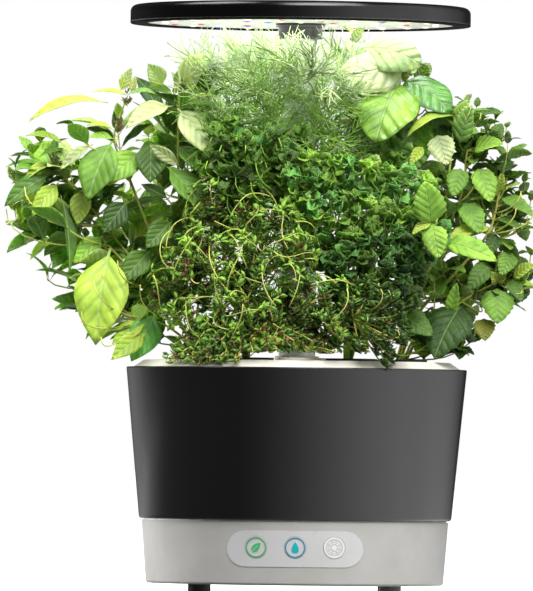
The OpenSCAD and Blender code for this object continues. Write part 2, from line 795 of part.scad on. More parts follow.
// A square root crown stands on the sponge, and a bar stem runs from it to the first clump
module plant(pod, stem_r, clumps, blades = []) {
    foot = concat(pod_xy(pod), [sponge_z1]);
    crown = 2 * (stem_r + crown_w);
    translate(foot - [crown / 2, crown / 2, 0]) cube([crown, crown, sponge_drop + crown_h]);
    bar(foot + [0, 0, sponge_drop], [clumps[0].x, clumps[0].y, deck_z + clumps[0].z], stem_r);
    translate([0, 0, deck_z]) {
        for (c = clumps) translate([c.x, c.y, c.z]) sphere(r = c[3]);
        for (b = blades) blade(b[0], b[1], b[2]);
    }
}

// A pointed leaf outline, extruded to a thin plate whose face looks to the front and up
module blade(a, b, w) {
    leaf_t = 1.6;
    d = b - a;
    l = norm([d.x, 0, d.z]);
    r = (l * l + w * w) / (4 * w);
    translate([a.x, (a.y + b.y) / 2, a.z]) rotate([90, -atan2(d.z, d.x), 0])
        linear_extrude(leaf_t, center = true)
            intersection() {
                translate([l / 2, r - w / 2]) circle(r = r);
                translate([l / 2, w / 2 - r]) circle(r = r);
            }
}

module thai_basil() { color([0.35, 0.55, 0.2]) plant(4, 3, thai_basil_clumps, thai_basil_blades); }
module dill() { color([0.6, 0.75, 0.42]) plant(3, 2.5, dill_clumps); }
module genovese_basil() {
    color([0.5, 0.7, 0.25]) plant(2, 3, genovese_basil_clumps, genovese_basil_blades);
}
module mint() { color([0.25, 0.5, 0.2]) plant(1, 2.5, mint_clumps, mint_blades); }
module parsley() { color([0.3, 0.52, 0.18]) plant(6, 3, parsley_clumps); }
module thyme() { color([0.35, 0.42, 0.15]) plant(5, 2, thyme_clumps); }

// ---------------------------------------------------------------- post

module post_sleeve() {
    color([0.72, 0.74, 0.76]) ring(sleeve_r, sleeve_r0, sleeve_z0, sleeve_z1);
}

module post_bush() {
    color([0.08, 0.08, 0.085]) {
        ring(bush_r, post_r + run, sleeve_z1, sleeve_z1 + bush_h);
        ring(sleeve_r0 - run, post_r + run, sleeve_z1 - skirt_len, sleeve_z1 + bush_h / 2);
    }
}

module post_tube() {
    color([0.8, 0.82, 0.84]) {
        ring(post_r, post_r - post_wall, post_z0, post_z1);
        ring(plug_r, post_r - post_wall, post_z0, post_z0 + plug_h);
    }
}

module lamp_lead() {
    color([0.1, 0.1, 0.1])
        ring(lead_r, 0, lead_z0, lid_z);
}

module lamp_hub() {
    color([0.06, 0.06, 0.065])
    difference() {
        union() {
            ring(hub_r + 0.2, 0, hub_z0, hub_z0 + hub_lip_t);
            ring(hub_r - 0.5, 0, hub_z0, hub_z0 + hub_lip_t + hub_groove_t + 1);
            ring(hub_r, 0, hub_z0 + hub_lip_t + hub_groove_t, panel_z0);
            ring(hub_flange_r, 0, panel_z0 - hub_flange_t, panel_z0);
            ring(hub_neck_r, 0, panel_z0 - 1, lid_z);
        }
        ring(post_r + run, 0, hub_z0 - 1, post_z1);
        ring(lead_r + fix, 0, post_z1 - 1, lid_z + 1);
    }
}

// ---------------------------------------------------------------- lamp disc

module hood_shell() {
    color([0.05, 0.05, 0.055])
    difference() {
        union() {
            rotate_extrude()
                polygon(concat(
                    [[0, lid_z], [hood_r - hood_wall - 2, lid_z], [hood_r - hood_wall, lid_z - 2],
                     [hood_r - hood_wall, panel_z0], [hood_r, panel_z0]],
                    arc([hood_r - hood_edge_r, hood_z1 - hood_edge_r], hood_edge_r, 0, 90),
                    [[0, hood_z1]]));
            for (i = [1:hood_screw_count])
                translate(polar(hood_screw_r, hood_screw_angle(i))) ring(3, 0, panel_z0, lid_z + 1);
            for (i = [1:hood_screw_count])
                translate(polar(standoff_ring_r, hood_screw_angle(i)))
                    ring(standoff_r, 0, spreader_z1, lid_z + 1);
        }
        for (i = [1:hood_screw_count])
            translate(polar(hood_screw_r, hood_screw_angle(i)))
                ring(1.25 + run, 0, panel_z0 - 1, panel_z0 + 7.5);
    }
}
function hood_screw_angle(i) = (i - 0.5) * 360 / hood_screw_count;

module hood_bezel() {
    color([0.05, 0.05, 0.055])
    difference() {
        rotate_extrude()
            polygon(concat(
                [[light_r, hood_z0]],
                arc([hood_r - bezel_edge_r, hood_z0 + bezel_edge_r], bezel_edge_r, -90, 0),
                [[hood_r, panel_z0], [light_r, panel_z0]]));
        for (i = [1:hood_screw_count])
            translate(polar(hood_screw_r, hood_screw_angle(i))) {
                ring(1.25 + fix / 2, 0, hood_z0 - 1, panel_z0 + 1);
                ring(2.4 + fix / 2, 0, hood_z0 - 1, hood_z0 + 0.7);
            }
    }
}

module hood_screws() {
    color([0.12, 0.12, 0.13])
    for (i = [1:hood_screw_count])
        translate(polar(hood_screw_r, hood_screw_angle(i))) {
            ring(2.4, 0, hood_z0 + 0.1, hood_z0 + 0.7);
            ring(1.25, 0, hood_z0 + 0.5, panel_z0 + 7);
        }
}

module led_board() {
    color([0.93, 0.94, 0.94]) ring(lamp_board_r, hub_neck_r + fix, panel_z0, spreader_z0);
}

// LED number n on the board is red, blue or white
function led_kind(n) = n % 10 == 5 ? "blue" : n % 5 == 2 ? "red" : "white";
function leds_before(ring) = ring == 0 ? 0 : led_counts[ring - 1] + leds_before(ring - 1);
function led_ring_r(ring) = light_r - led_edge - (len(led_counts) - 1 - ring) * led_ring_pitch;

module leds(kind) {
    for (k = [0:len(led_counts) - 1], i = [0:led_counts[k] - 1])
        if (led_kind(leds_before(k) + i) == kind)
            rotate(360 * (i + k / 2) / led_counts[k]) translate([led_ring_r(k), 0, panel_z0]) {
                translate([-led_w / 2, -led_w / 2, -led_h / 2]) cube([led_w, led_w, led_h / 2]);
                translate([0, 0, -led_h]) cylinder(d = led_w * 0.72, h = led_h);
            }
}

module heat_spreader() {
    color([0.78, 0.79, 0.8]) ring(spreader_r, hub_neck_r + fix, spreader_z0, spreader_z1);
}

module lamp_driver() {
    color([0.12, 0.3, 0.18]) {
        translate([driver_x - driver_w / 2, -driver_len / 2, spreader_z1])
            cube([driver_w, driver_len, board_t]);
        for (side = [-1, 1])
            translate([driver_x, side * driver_len / 4, spreader_z1 + board_t / 2])
                cylinder(r = capacitor_r, h = capacitor_h);
    }
}

// ---------------------------------------------------------------- output

base_plate();
base_shell();
post_socket();
base_gasket();
base_screws();
for (i = [1:4]) foot(i);
control_overlay();
key(-1);  // key_feed
key(0);  // key_water
key(1);  // key_light
tact_switches();
control_board();
base_wiring();
dc_jack();
bowl();
dry_column();
strainer();
pump_housing();
pump_rotor();
riser_tube();
float_guide();
float();
grow_deck();
fill_cover();
for (i = [1:pod_count]) basket(i);
for (i = [1:pod_count]) sponge(i);
thai_basil();
dill();
genovese_basil();
mint();
parsley();
thyme();
post_sleeve();
post_bush();
post_tube();
lamp_lead();
lamp_hub();
hood_shell();
hood_bezel();
hood_screws();
led_board();
leds("white");  // leds_white
color([0.8, 0.25, 0.25]) leds("red");  // leds_red
color([0.3, 0.4, 0.85]) leds("blue");  // leds_blue
heat_spreader();
lamp_driver();
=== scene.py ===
"""Looks of a countertop hydroponic garden.

A disc grow lamp stands on a telescoping post over a black water bowl, and six herbs grow from pods in
the bowl's deck: Thai basil, dill, Genovese basil, mint, curly parsley and thyme. The housings, the post
and the lamp come from the frame and get their finishes here. The herbs, their grow sponges and the
marks on the keys are modelled here. Plant sizes are in millimetres and all else is in metres.
"""

import logging
import math
from dataclasses import dataclass, field, replace
from enum import Enum
from typing import Callable, Sequence, Union

import bmesh
import bpy
import numpy as np
from mathutils import Matrix, Vector


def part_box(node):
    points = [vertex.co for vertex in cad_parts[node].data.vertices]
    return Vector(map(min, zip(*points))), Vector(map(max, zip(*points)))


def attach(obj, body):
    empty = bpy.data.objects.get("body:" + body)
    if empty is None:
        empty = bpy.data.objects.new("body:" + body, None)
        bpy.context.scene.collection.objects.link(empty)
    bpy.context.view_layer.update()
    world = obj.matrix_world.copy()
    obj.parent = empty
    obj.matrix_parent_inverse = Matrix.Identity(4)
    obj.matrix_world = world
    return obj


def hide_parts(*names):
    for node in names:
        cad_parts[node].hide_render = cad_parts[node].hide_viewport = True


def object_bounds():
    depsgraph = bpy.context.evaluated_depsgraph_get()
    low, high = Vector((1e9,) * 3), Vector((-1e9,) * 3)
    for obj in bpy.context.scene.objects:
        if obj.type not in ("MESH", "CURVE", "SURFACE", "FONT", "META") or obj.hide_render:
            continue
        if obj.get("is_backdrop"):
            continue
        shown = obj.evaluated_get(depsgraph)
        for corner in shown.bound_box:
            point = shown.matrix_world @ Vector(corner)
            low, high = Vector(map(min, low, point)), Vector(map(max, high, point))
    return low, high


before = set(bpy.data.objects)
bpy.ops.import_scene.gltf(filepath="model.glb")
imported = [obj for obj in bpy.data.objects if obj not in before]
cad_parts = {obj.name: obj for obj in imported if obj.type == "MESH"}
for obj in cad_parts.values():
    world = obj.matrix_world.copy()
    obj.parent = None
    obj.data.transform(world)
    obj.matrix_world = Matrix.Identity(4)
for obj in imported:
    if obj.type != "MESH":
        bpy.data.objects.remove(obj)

LOG = logging.getLogger("garden")
MM = 0.001
UP = np.array([0.0, 0.0, 1.0])
TINT = "tint"
LEAF_UV = "LeafUV"

Array = np.ndarray
Point = tuple[float, float, float]
Pair = tuple[float, float]
Piece = bpy.types.Object
Material = bpy.types.Material
Socket = bpy.types.NodeSocket
Value = Union[Socket, float, Sequence[float]]
Inputs = dict[Union[str, int], Value]


# ---------------------------------------------------------------- colour and nodes


def linear(srgb: Sequence[float]) -> tuple[float, float, float, float]:
    """Turns a display colour into a shader colour.

    Args:
        srgb: Red, green and blue from 0 to 255.

    Returns:
        The linear colour with an alpha of 1.
    """
    parts = [c / 255 for c in srgb]
    parts = [c / 12.92 if c <= 0.04045 else ((c + 0.055) / 1.055) ** 2.4 for c in parts]
    return (parts[0], parts[1], parts[2], 1.0)


class Tone(Enum):
    """Colours of leaf, stem and bud, as red, green and blue from 0 to 255."""

    # The first, palest tone is painted lamp light on the leaves nearest the lamp. The other greens stand
    # partly for the leaves' own colours and partly for painted light and shade.
    BLEACHED = (228, 238, 208)
    PALE = (202, 222, 156)
    BRIGHT = (180, 212, 84)
    YELLOW = (208, 222, 100)
    LIGHT = (182, 212, 122)
    FRESH = (144, 194, 72)
    GRASS = (104, 166, 80)
    MID = (112, 158, 58)
    DARK = (82, 118, 44)
    DEEP = (50, 78, 28)
    OLIVE = (142, 148, 60)
    PLUM = (126, 78, 72)
    STEM = (208, 216, 112)
    THREAD = (198, 226, 160)

    @property
    def rgb(self) -> Array:
        """The tone as a linear colour of three numbers."""
        return np.array(linear(self.value)[:3])


BLEACHED, PALE, BRIGHT, YELLOW, LIGHT, FRESH, GRASS, MID, DARK, DEEP, OLIVE, PLUM, STEM, THREAD = Tone


class Graph:
    """The shader nodes of one material or world, added by short calls."""

    def __init__(self, tree: bpy.types.NodeTree) -> None:
        """Starts an empty graph in the given tree."""
        self.tree = tree
        self.tree.nodes.clear()

    @classmethod
    def material(cls, name: str) -> tuple["Graph", Material]:
        """Makes a material.

        Args:
            name: The material's name.

        Returns:
            The graph and its material.
        """
        made = bpy.data.materials.new(name)
        made.use_nodes = True
        return cls(made.node_tree), made

    def add(self, kind: str, inputs: Inputs, output: Union[str, int] = 0, **settings: object) -> Socket:
        """Adds a node.

        Args:
            kind: The node's type, without its first word ShaderNode.
            inputs: What each input takes: a socket to link or a constant.
            output: Which output is wanted.
            **settings: Properties of the node.

        Returns:
            The output socket.
        """
        node = self.tree.nodes.new(f"ShaderNode{kind}")
        for key, value in settings.items():
            setattr(node, key, value)
        for key, value in inputs.items():
            if isinstance(value, Socket):
                self.tree.links.new(value, node.inputs[key])
            else:
                node.inputs[key].default_value = value
        return node.outputs[output]

    def place(self) -> Socket:
        """The place on the object."""
        return self.add("TexCoord", {}, "Object")

    def math(self, operation: str, a: Value, b: Value = 0.0) -> Socket:
        """One sum, difference, product or other math step."""
        return self.add("Math", {0: a, 1: b}, operation=operation)

    def times(self, a: Value, b: Value) -> Socket:
        """The product of two values."""
        return self.math("MULTIPLY", a, b)

    def noise(self, size: float, vector: Socket, detail: float = 3.0) -> Socket:
        """Cloudy noise whose patches are about size metres wide."""
        return self.add("TexNoise", {"Scale": 1 / size, "Detail": detail, "Vector": vector})

    def spread(self, value: Socket, low: float, high: float, to_low: float = 0.0, to_high: float = 1.0,
               smooth: bool = False) -> Socket:
        """Maps low..high to to_low..to_high and holds the ends."""
        return self.add("MapRange", {0: value, 1: low, 2: high, 3: to_low, 4: to_high},
                        interpolation_type="SMOOTHSTEP" if smooth else "LINEAR")

    def vary(self, noise: Socket, low: float, high: float) -> Socket:
        """Maps the usual run of noise, 0.3 to 0.7, to low..high."""
        return self.spread(noise, 0.3, 0.7, low, high)

    def steps(self, value: Socket, points: Sequence[Pair]) -> Socket:
        """Runs straight from point to point, and holds the ends.

        Args:
            value: The value to look up.
            points: The value and the result at each point, in rising order of the value.

        Returns:
            The result.
        """
        total: Value = points[0][1]
        for (low, first), (high, second) in zip(points, points[1:]):
            total = self.math("ADD", self.spread(value, low, high, 0.0, second - first), total)
        return total

    def blend(self, share: Value, a: Value, b: Value) -> Socket:
        """Mixes two colours by share."""
        return self.add("Mix", {0: share, 6: a, 7: b}, 2, data_type="RGBA")

    def tint(self, strength: Socket) -> Socket:
        """The mesh's own colour, scaled."""
        own = self.add("Attribute", {}, "Color", attribute_name=TINT)
        return self.add("VectorMath", {0: own, "Scale": strength}, operation="SCALE")

    def finish(self, inputs: Inputs) -> None:
        """Ends a material in a Principled shader with these inputs."""
        self.end(self.add("BsdfPrincipled", inputs))

    def end(self, shader: Socket, kind: str = "Material") -> None:
        """Links a shader to the output of a material or world.

        Args:
            shader: The shader.
            kind: Material or World.
        """
        output = self.tree.nodes.new(f"ShaderNodeOutput{kind}")
        output.is_active_output = True
        self.tree.links.new(shader, output.inputs["Surface"])


# ---------------------------------------------------------------- finishes


@dataclass(frozen=True)
class Surface:
    """A moulded, rubber, metal or foam finish.

    Colours run from 0 to 255. Sizes are in metres: patch is the size of the soft colour patches, grain
    and depth are the size and height of the fine texture, and edge is how far edges are rounded and how
    wide the lighter band along them is, partly edge wear and partly a painted edge highlight. draw is how
    far the texture is drawn out upward.
    """

    name: str
    colour: Sequence[float]
    shade: Sequence[float]
    patch: float = 0.03
    grain: float = 0.0005
    depth: float = 0.000012
    rough: Pair = (0.38, 0.5)
    edge: float = 0.0004
    metal: float = 0.0
    specular: float = 0.5
    glow: float = 0.0
    draw: float = 1.0

    def build(self) -> Material:
        """Makes the material.

        Returns:
            A material whose colour, roughness and bump vary over the object.
        """
        graph, material = Graph.material(self.name)
        place = graph.place()
        drawn = graph.add("Mapping", {"Vector": place, "Scale": (1.0, 1.0, 1 / self.draw)})
        patches = graph.spread(graph.noise(self.patch, place), 0.35, 0.65)
        smudge = graph.noise(self.patch * 0.35, drawn, 5.0)
        grain = graph.noise(self.grain, drawn, 2.0)
        soft = graph.add("Bevel", {"Radius": self.edge}, samples=4)
        flat = graph.add("NewGeometry", {}, "Normal")
        corner = graph.spread(graph.add("VectorMath", {0: soft, 1: flat}, "Value", operation="DOT_PRODUCT"),
                              0.99, 0.8)
        colour = graph.blend(patches, linear(self.colour), linear(self.shade))
        # Rounded edges are mixed toward grey: partly edge wear, partly a painted edge highlight.
        wear_and_edge_sheen = graph.blend(graph.times(corner, 0.35), colour, (0.6, 0.6, 0.6, 1.0))
        speck = graph.blend(graph.vary(grain, 0.0, 0.12), wear_and_edge_sheen, linear(self.shade))
        inputs: Inputs = {
            "Base Color": speck, "Roughness": graph.vary(smudge, *self.rough),
            "Normal": graph.add("Bump", {"Height": grain, "Distance": self.depth, "Normal": soft}),
            "Metallic": self.metal, "Specular IOR Level": self.specular}
        if self.glow:
            inputs |= {"Emission Color": linear(self.colour), "Emission Strength": self.glow}
        graph.finish(inputs)
        return material


@dataclass(frozen=True)
class LeafFinish:
    """A leaf's finish, which takes its colour from the mesh.

    veins is how many side veins a leaf length holds, slant is how steeply they rise, pale is how far
    the veins go to white, depth and rugged are the height of the veins and of the fine wrinkles, and
    flesh is how much light passes within. furrow_shade is how dark the blade is beside the veins, as
    painted shade in the furrows.
    """

    name: str
    veins: float = 9.0
    slant: float = 1.1
    pale: float = 0.3
    depth: float = 0.0004
    rugged: float = 0.0001
    wrinkle: float = 0.0018
    rough: Pair = (0.36, 0.52)
    specular: float = 0.32
    flesh: float = 0.3
    furrow_shade: float = 0.8

    def build(self) -> Material:
        """Makes the material.

        Returns:
            A material with a midrib, side veins and mottling on the leaf's own colour, and painted shade in
            the furrows beside the veins.
        """
        graph, material = Graph.material(self.name)
        place = graph.place()
        spot = graph.add("UVMap", {}, uv_map=LEAF_UV)
        across, along = (graph.add("SeparateXYZ", {0: spot}, axis) for axis in "XY")
        off = graph.math("ABSOLUTE", graph.math("SUBTRACT", across, 0.5))
        cloud = graph.noise(0.006, place)
        wander = graph.times(graph.math("SUBTRACT", cloud, 0.5), 0.03)
        rise = graph.math("SUBTRACT", graph.math("ADD", along, wander), graph.times(off, self.slant))
        gap = graph.math("PINGPONG", graph.times(rise, self.veins), 0.5)
        side = graph.spread(gap, 0.01, 0.09, 1.0, 0.0, smooth=True)
        rib = graph.spread(off, 0.004, 0.022, 1.0, 0.0, smooth=True)
        vein = graph.math("MAXIMUM", rib, graph.times(side, 0.4))
        broad = graph.noise(0.02, place, 2.0)
        mottle = graph.times(graph.vary(cloud, 0.88, 1.1),
                             graph.vary(broad, 0.76, 1.24))
        # The blade darkens beside the side veins: painted shade in the furrows.
        own = graph.tint(graph.times(mottle, graph.spread(gap, 0.06, 0.26, self.furrow_shade, 1.0, smooth=True)))
        limed = graph.add("VectorMath", {0: own, 1: (1.1, 1.06, 0.86)}, operation="MULTIPLY")
        mottled = graph.blend(graph.spread(broad, 0.42, 0.7, 0.0, 0.8), own, limed)
        puff = graph.spread(gap, 0.0, 0.4, smooth=True)
        fine = graph.noise(self.wrinkle, place, 2.0)
        height = graph.math("ADD", graph.times(graph.math("SUBTRACT", puff, rib), self.depth),
                            graph.times(fine, self.rugged))
        graph.finish({
            "Base Color": graph.blend(graph.times(vein, self.pale), mottled, linear(PALE.value)),
            "Roughness": graph.vary(fine, *self.rough),
            "Normal": graph.add("Bump", {"Height": height, "Distance": 1.0, "Strength": 0.8}),
            "Specular IOR Level": self.specular, "Subsurface Weight": self.flesh,
            "Subsurface Radius": (0.6, 1.0, 0.25), "Subsurface Scale": 0.002})
        return material


@dataclass(frozen=True)
class StemFinish:
    """A stalk's finish, with long fibres on the stem's own colour."""

    name: str = "stem_skin"
    fibre: float = 0.0009

    def build(self) -> Material:
        """Makes the material.

        Returns:
            A material with drawn-out streaks.
        """
        graph, material = Graph.material(self.name)
        drawn = graph.add("Mapping", {"Vector": graph.place(), "Scale": (1.0, 1.0, 0.12)})
        streak = graph.noise(self.fibre, drawn)
        graph.finish({"Base Color": graph.tint(graph.vary(streak, 0.75, 1.2)),
                      "Roughness": graph.vary(streak, 0.4, 0.6),
                      "Normal": graph.add("Bump", {"Height": streak, "Distance": 0.0002})})
        return material


# ---------------------------------------------------------------- modelling helpers


def deselect_all() -> None:
    """Clears the selection, so that the next operator acts on its own piece only."""
    bpy.ops.object.select_all(action="DESELECT")


def link(name: str, data: bpy.types.ID) -> Piece:
    """Makes an object of the data and puts it in the scene.

    Args:
        name: The object's name.
        data: Its mesh, light or camera.

    Returns:
        The object.
    """
    made = bpy.data.objects.new(name, data)
    bpy.context.scene.collection.objects.link(made)
    return made


def pick(piece: Piece, test: Callable[[Vector], bool]) -> None:
    """Selects the vertices of the piece in edit mode that pass the test.

    Args:
        piece: The piece, in edit mode.
        test: Takes a vertex's place and says whether it is wanted.
    """
    mesh = bmesh.from_edit_mesh(piece.data)
    for vertex in mesh.verts:
        vertex.select_set(False)
    mesh.select_flush(False)
    for vertex in mesh.verts:
        if test(vertex.co):
            vertex.select_set(True)
    mesh.select_flush(True)
    bmesh.update_edit_mesh(piece.data)


def edit(piece: Piece) -> None:
    """Opens a piece in edit mode with all of it selected.

    Args:
        piece: The piece.
    """
    bpy.context.view_layer.objects.active = piece
    bpy.ops.object.mode_set(mode="EDIT")
    bpy.context.tool_settings.mesh_select_mode = (True, False, False)
    bpy.ops.mesh.select_all(action="SELECT")


def open_new(name: str) -> Piece:
    """Opens an empty piece in edit mode.

    Args:
        name: The piece's name.

    Returns:
        The piece.
    """
    deselect_all()
    piece = link(name, bpy.data.meshes.new(name))
    edit(piece)
    return piece


def close_edit() -> None:
    """Goes back to object mode."""
    bpy.ops.object.mode_set(mode="OBJECT")


def apply_modifier(piece: Piece, kind: str, **settings: object) -> None:
    """Adds a modifier to a piece and applies it.

    Args:
        piece: The piece.
        kind: The modifier's type.
        **settings: Properties of the modifier.
    """
    modifier = piece.modifiers.new(kind.title(), kind)
    for key, value in settings.items():
        setattr(modifier, key, value)
    bpy.context.view_layer.objects.active = piece
    bpy.ops.object.modifier_apply(modifier=modifier.name)


def dress(piece: Piece, *materials: Material) -> None:
    """Gives the piece these materials."""
    piece.data.materials.clear()
    for material in materials:
        piece.data.materials.append(material)


# ---------------------------------------------------------------- leaves


@dataclass(frozen=True)
class LeafShape:
    """How a leaf is cut.

    rows and columns are its faces along and across. stalk is the share of its length that is stalk,
    widest is where its blade is widest, blunt is lower for a rounder blade, and tooth is how deep its
    edge is toothed. A lens is a tiny leaf with a raised middle and one face below.
    """

    name: str
    rows: int
    columns: int
    stalk: float = 0.1
    widest: float = 0.4
    blunt: float = 0.8
    tooth: float = 0.0
    thick: float = 0.008
    stalk_width: float = 0.05
    lens: bool = False

    def half_width(self, along: float) -> float:
        """Half the leaf's width at a place along it.

        Args:
            along: 0 at the foot of the stalk, 1 at the tip.

        Returns:
            The half width, 1 at the widest place.
        """
        if along >= 1:
            return 0.0
        if along <= self.stalk:
            return self.stalk_width
        share = (along - self.stalk) / (1 - self.stalk)
        bulge = math.sin(math.pi * share ** (math.log(0.5) / math.log(self.widest))) ** self.blunt
        return max(bulge, self.stalk_width * (1 - share))


@dataclass(frozen=True)
class Template:
    """A flat shape that is bent into many leaves.

    points holds the place across (1 is half a width), along (0 to 1) and up (in lengths). loops and
    sizes hold the faces, and below says which points are on the underside.
    """

    points: Array
    loops: Array
    sizes: Array
    below: Array

    @classmethod
    def take(cls, piece: Piece, thick: float) -> "Template":
        """Reads a modelled piece as a template and deletes the piece.

        Args:
            piece: The piece.
            thick: How thick it is.

        Returns:
            The template.
        """
        mesh = piece.data
        points = np.empty(len(mesh.vertices) * 3)
        mesh.vertices.foreach_get("co", points)
        loops = np.empty(len(mesh.loops), np.int32)
        mesh.loops.foreach_get("vertex_index", loops)
        sizes = np.array([len(face.vertices) for face in mesh.polygons], np.int32)
        bpy.data.objects.remove(piece)
        points = points.reshape(-1, 3)
        return cls(points, loops, sizes, points[:, 2] < -thick / 2)


def cut_leaf(shape: LeafShape) -> Template:
    """Models a leaf of the given shape, flat, one length long and thin.

    Args:
        shape: How the leaf is cut.

    Returns:
        The leaf as a template.
    """
    near = 0.001
    deselect_all()
    bpy.ops.mesh.primitive_grid_add(x_subdivisions=shape.columns, y_subdivisions=shape.rows, size=2)
    leaf = bpy.context.object
    leaf.name = shape.name
    edit(leaf)
    bpy.ops.transform.resize(value=(1, 0.5, 1), center_override=(0, 0, 0))
    bpy.ops.transform.translate(value=(0, 0.5, 0))
    for row in range(shape.rows + 1):
        along = row / shape.rows
        wide = shape.half_width(along)
        pick(leaf, lambda point: abs(point.y - along) < near)
        bpy.ops.transform.resize(value=(wide, 1, 1), center_override=(0, along, 0))
        if shape.tooth and row % 2 and along > shape.stalk:
            pick(leaf, lambda point: abs(point.y - along) < near and abs(point.x) > wide * 0.99)
            bpy.ops.transform.resize(value=(1 - shape.tooth, 1, 1), center_override=(0, along, 0))
    bpy.ops.mesh.select_all(action="SELECT")
    bpy.ops.mesh.remove_doubles(threshold=near / 2)
    if shape.lens:
        bpy.ops.mesh.region_to_loop()
        bpy.ops.mesh.edge_face_add()
        pick(leaf, lambda point: abs(point.x) < near and 0.01 < point.y < 0.99)
        bpy.ops.transform.translate(value=(0, 0, shape.thick))
        bpy.ops.mesh.select_all(action="SELECT")
        bpy.ops.mesh.normals_make_consistent(inside=False)
    close_edit()
    if not shape.lens:
        apply_modifier(leaf, "SOLIDIFY", thickness=shape.thick, offset=-1.0)
    return Template.take(leaf, shape.thick)


def add_thread(start: Vector, heading: Vector, reach: float, thick: float, bow: Vector) -> None:
    """Models a bent thread in the open mesh, drawn out from a three-sided ring.

    Args:
        start: Where it starts.
        heading: The way it starts off.
        reach: How long it is.
        thick: Its radius at the start.
        bow: How far its end is drawn aside.
    """
    parts = 3
    bpy.ops.mesh.primitive_circle_add(vertices=3, radius=thick, fill_type="NOTHING", location=start,
                                      rotation=heading.to_track_quat("Z", "Y").to_euler())
    here = start.copy()
    for part in range(parts):
        step = heading * reach / parts + bow * (2 * part + 1) / parts ** 2
        here = here + step
        bpy.ops.mesh.extrude_region_move(TRANSFORM_OT_translate={"value": step})
        bpy.ops.transform.resize(value=(0.8, 0.8, 0.8), center_override=here)


def cut_spray(pairs: int, thick: float) -> Template:
    """Models a feathery spray of bent threads on a thin rib, flat and one length long.

    Args:
        pairs: How many pairs of threads it has.
        thick: The radius of a thread, in lengths.

    Returns:
        The spray as a template, with no point on the underside.
    """
    spray = open_new("spray")
    add_thread(Vector((0, 0, 0)), Vector((0, 1, 0)), 1.0, thick * 1.5, Vector((0, 0, 0)))
    for number in range(pairs):
        along = 0.2 + 0.76 * number / pairs
        reach = 0.58 * math.sin(math.pi * (0.3 + 0.5 * number / pairs))
        lean = math.radians(62 - 26 * number / pairs)
        for side in (-1, 1):
            lift = math.radians(30 * math.cos(2.4 * number + side))
            heading = Vector((side * math.sin(lean) * math.cos(lift), math.cos(lean), math.sin(lift)))
            bow = Vector((-side * 0.22, 0.1, 0.14 * math.sin(1.7 * number + side)))
            add_thread(Vector((0, along, 0)), heading, reach, thick, bow)
    close_edit()
    return Template.take(spray, 10.0)


@dataclass
class Leaf:
    """One leaf: where it starts and ends, which way it faces, how it bends and its colour.

    curl, fold and twist are angles. cup and wave are heights as shares of half the width.
    """

    base: Array
    tip: Array
    face: Array
    width: float
    colour: Array
    curl: float = 0.5
    fold: float = 0.25
    cup: float = 0.0
    wave: float = 0.08
    ripples: float = 2.0
    twist: float = 0.0
    phase: float = 0.0

    def shrunk(self, share: float) -> "Leaf":
        """The same leaf, shorter and narrower."""
        return replace(self, tip=self.base + (self.tip - self.base) * share, width=self.width * share)


def bend_leaves(template: Template, leaves: Sequence[Leaf]) -> Array:
    """Bends the template into each leaf.

    Args:
        template: The flat shape.
        leaves: The leaves.

    Returns:
        The points of every leaf, as leaves by points by 3.
    """
    def each(name: str) -> Array:
        """One number or vector of every leaf, as a column."""
        return np.array([getattr(leaf, name) for leaf in leaves])[:, None]

    across, along, up = (template.points[None, :, axis] for axis in range(3))
    base, chord, face = each("base"), each("tip") - each("base"), each("face")
    length = np.linalg.norm(chord, axis=2)
    ahead = chord / length[:, :, None]
    face = face - (face * ahead).sum(2, keepdims=True) * ahead
    face = face / np.linalg.norm(face, axis=2, keepdims=True)
    side = np.cross(ahead, face)
    curl = each("curl")
    curl = np.where(np.abs(curl) < 0.01, 0.01, curl)
    arc = length * curl / 2 / np.sin(curl / 2) / curl
    angle = curl * (0.5 - along)
    forth = arc * (np.sin(curl / 2) - np.sin(angle))
    rise = arc * (np.cos(angle) - np.cos(curl / 2))
    normal = -np.sin(angle)[:, :, None] * ahead + np.cos(angle)[:, :, None] * face
    turn = (each("twist") * along)[:, :, None]
    side, normal = np.cos(turn) * side + np.sin(turn) * normal, np.cos(turn) * normal - np.sin(turn) * side
    half = each("width") / 2
    wave = each("wave") * np.sin(2 * math.pi * each("ripples") * along + each("phase")
                                 + 1.3 * np.sign(across)) * np.abs(across) ** 1.5
    height = half * (np.abs(across) * np.sin(each("fold")) + each("cup") * across ** 2 + wave)
    wide = half * across * np.cos(each("fold"))
    return (base + forth[:, :, None] * ahead + rise[:, :, None] * face + wide[:, :, None] * side
            + (height + up * length)[:, :, None] * normal)


# ---------------------------------------------------------------- one plant's mesh


class Part(Enum):
    """What a face of a plant belongs to, as the number of its material."""

    LEAF = 0
    STALK = 1


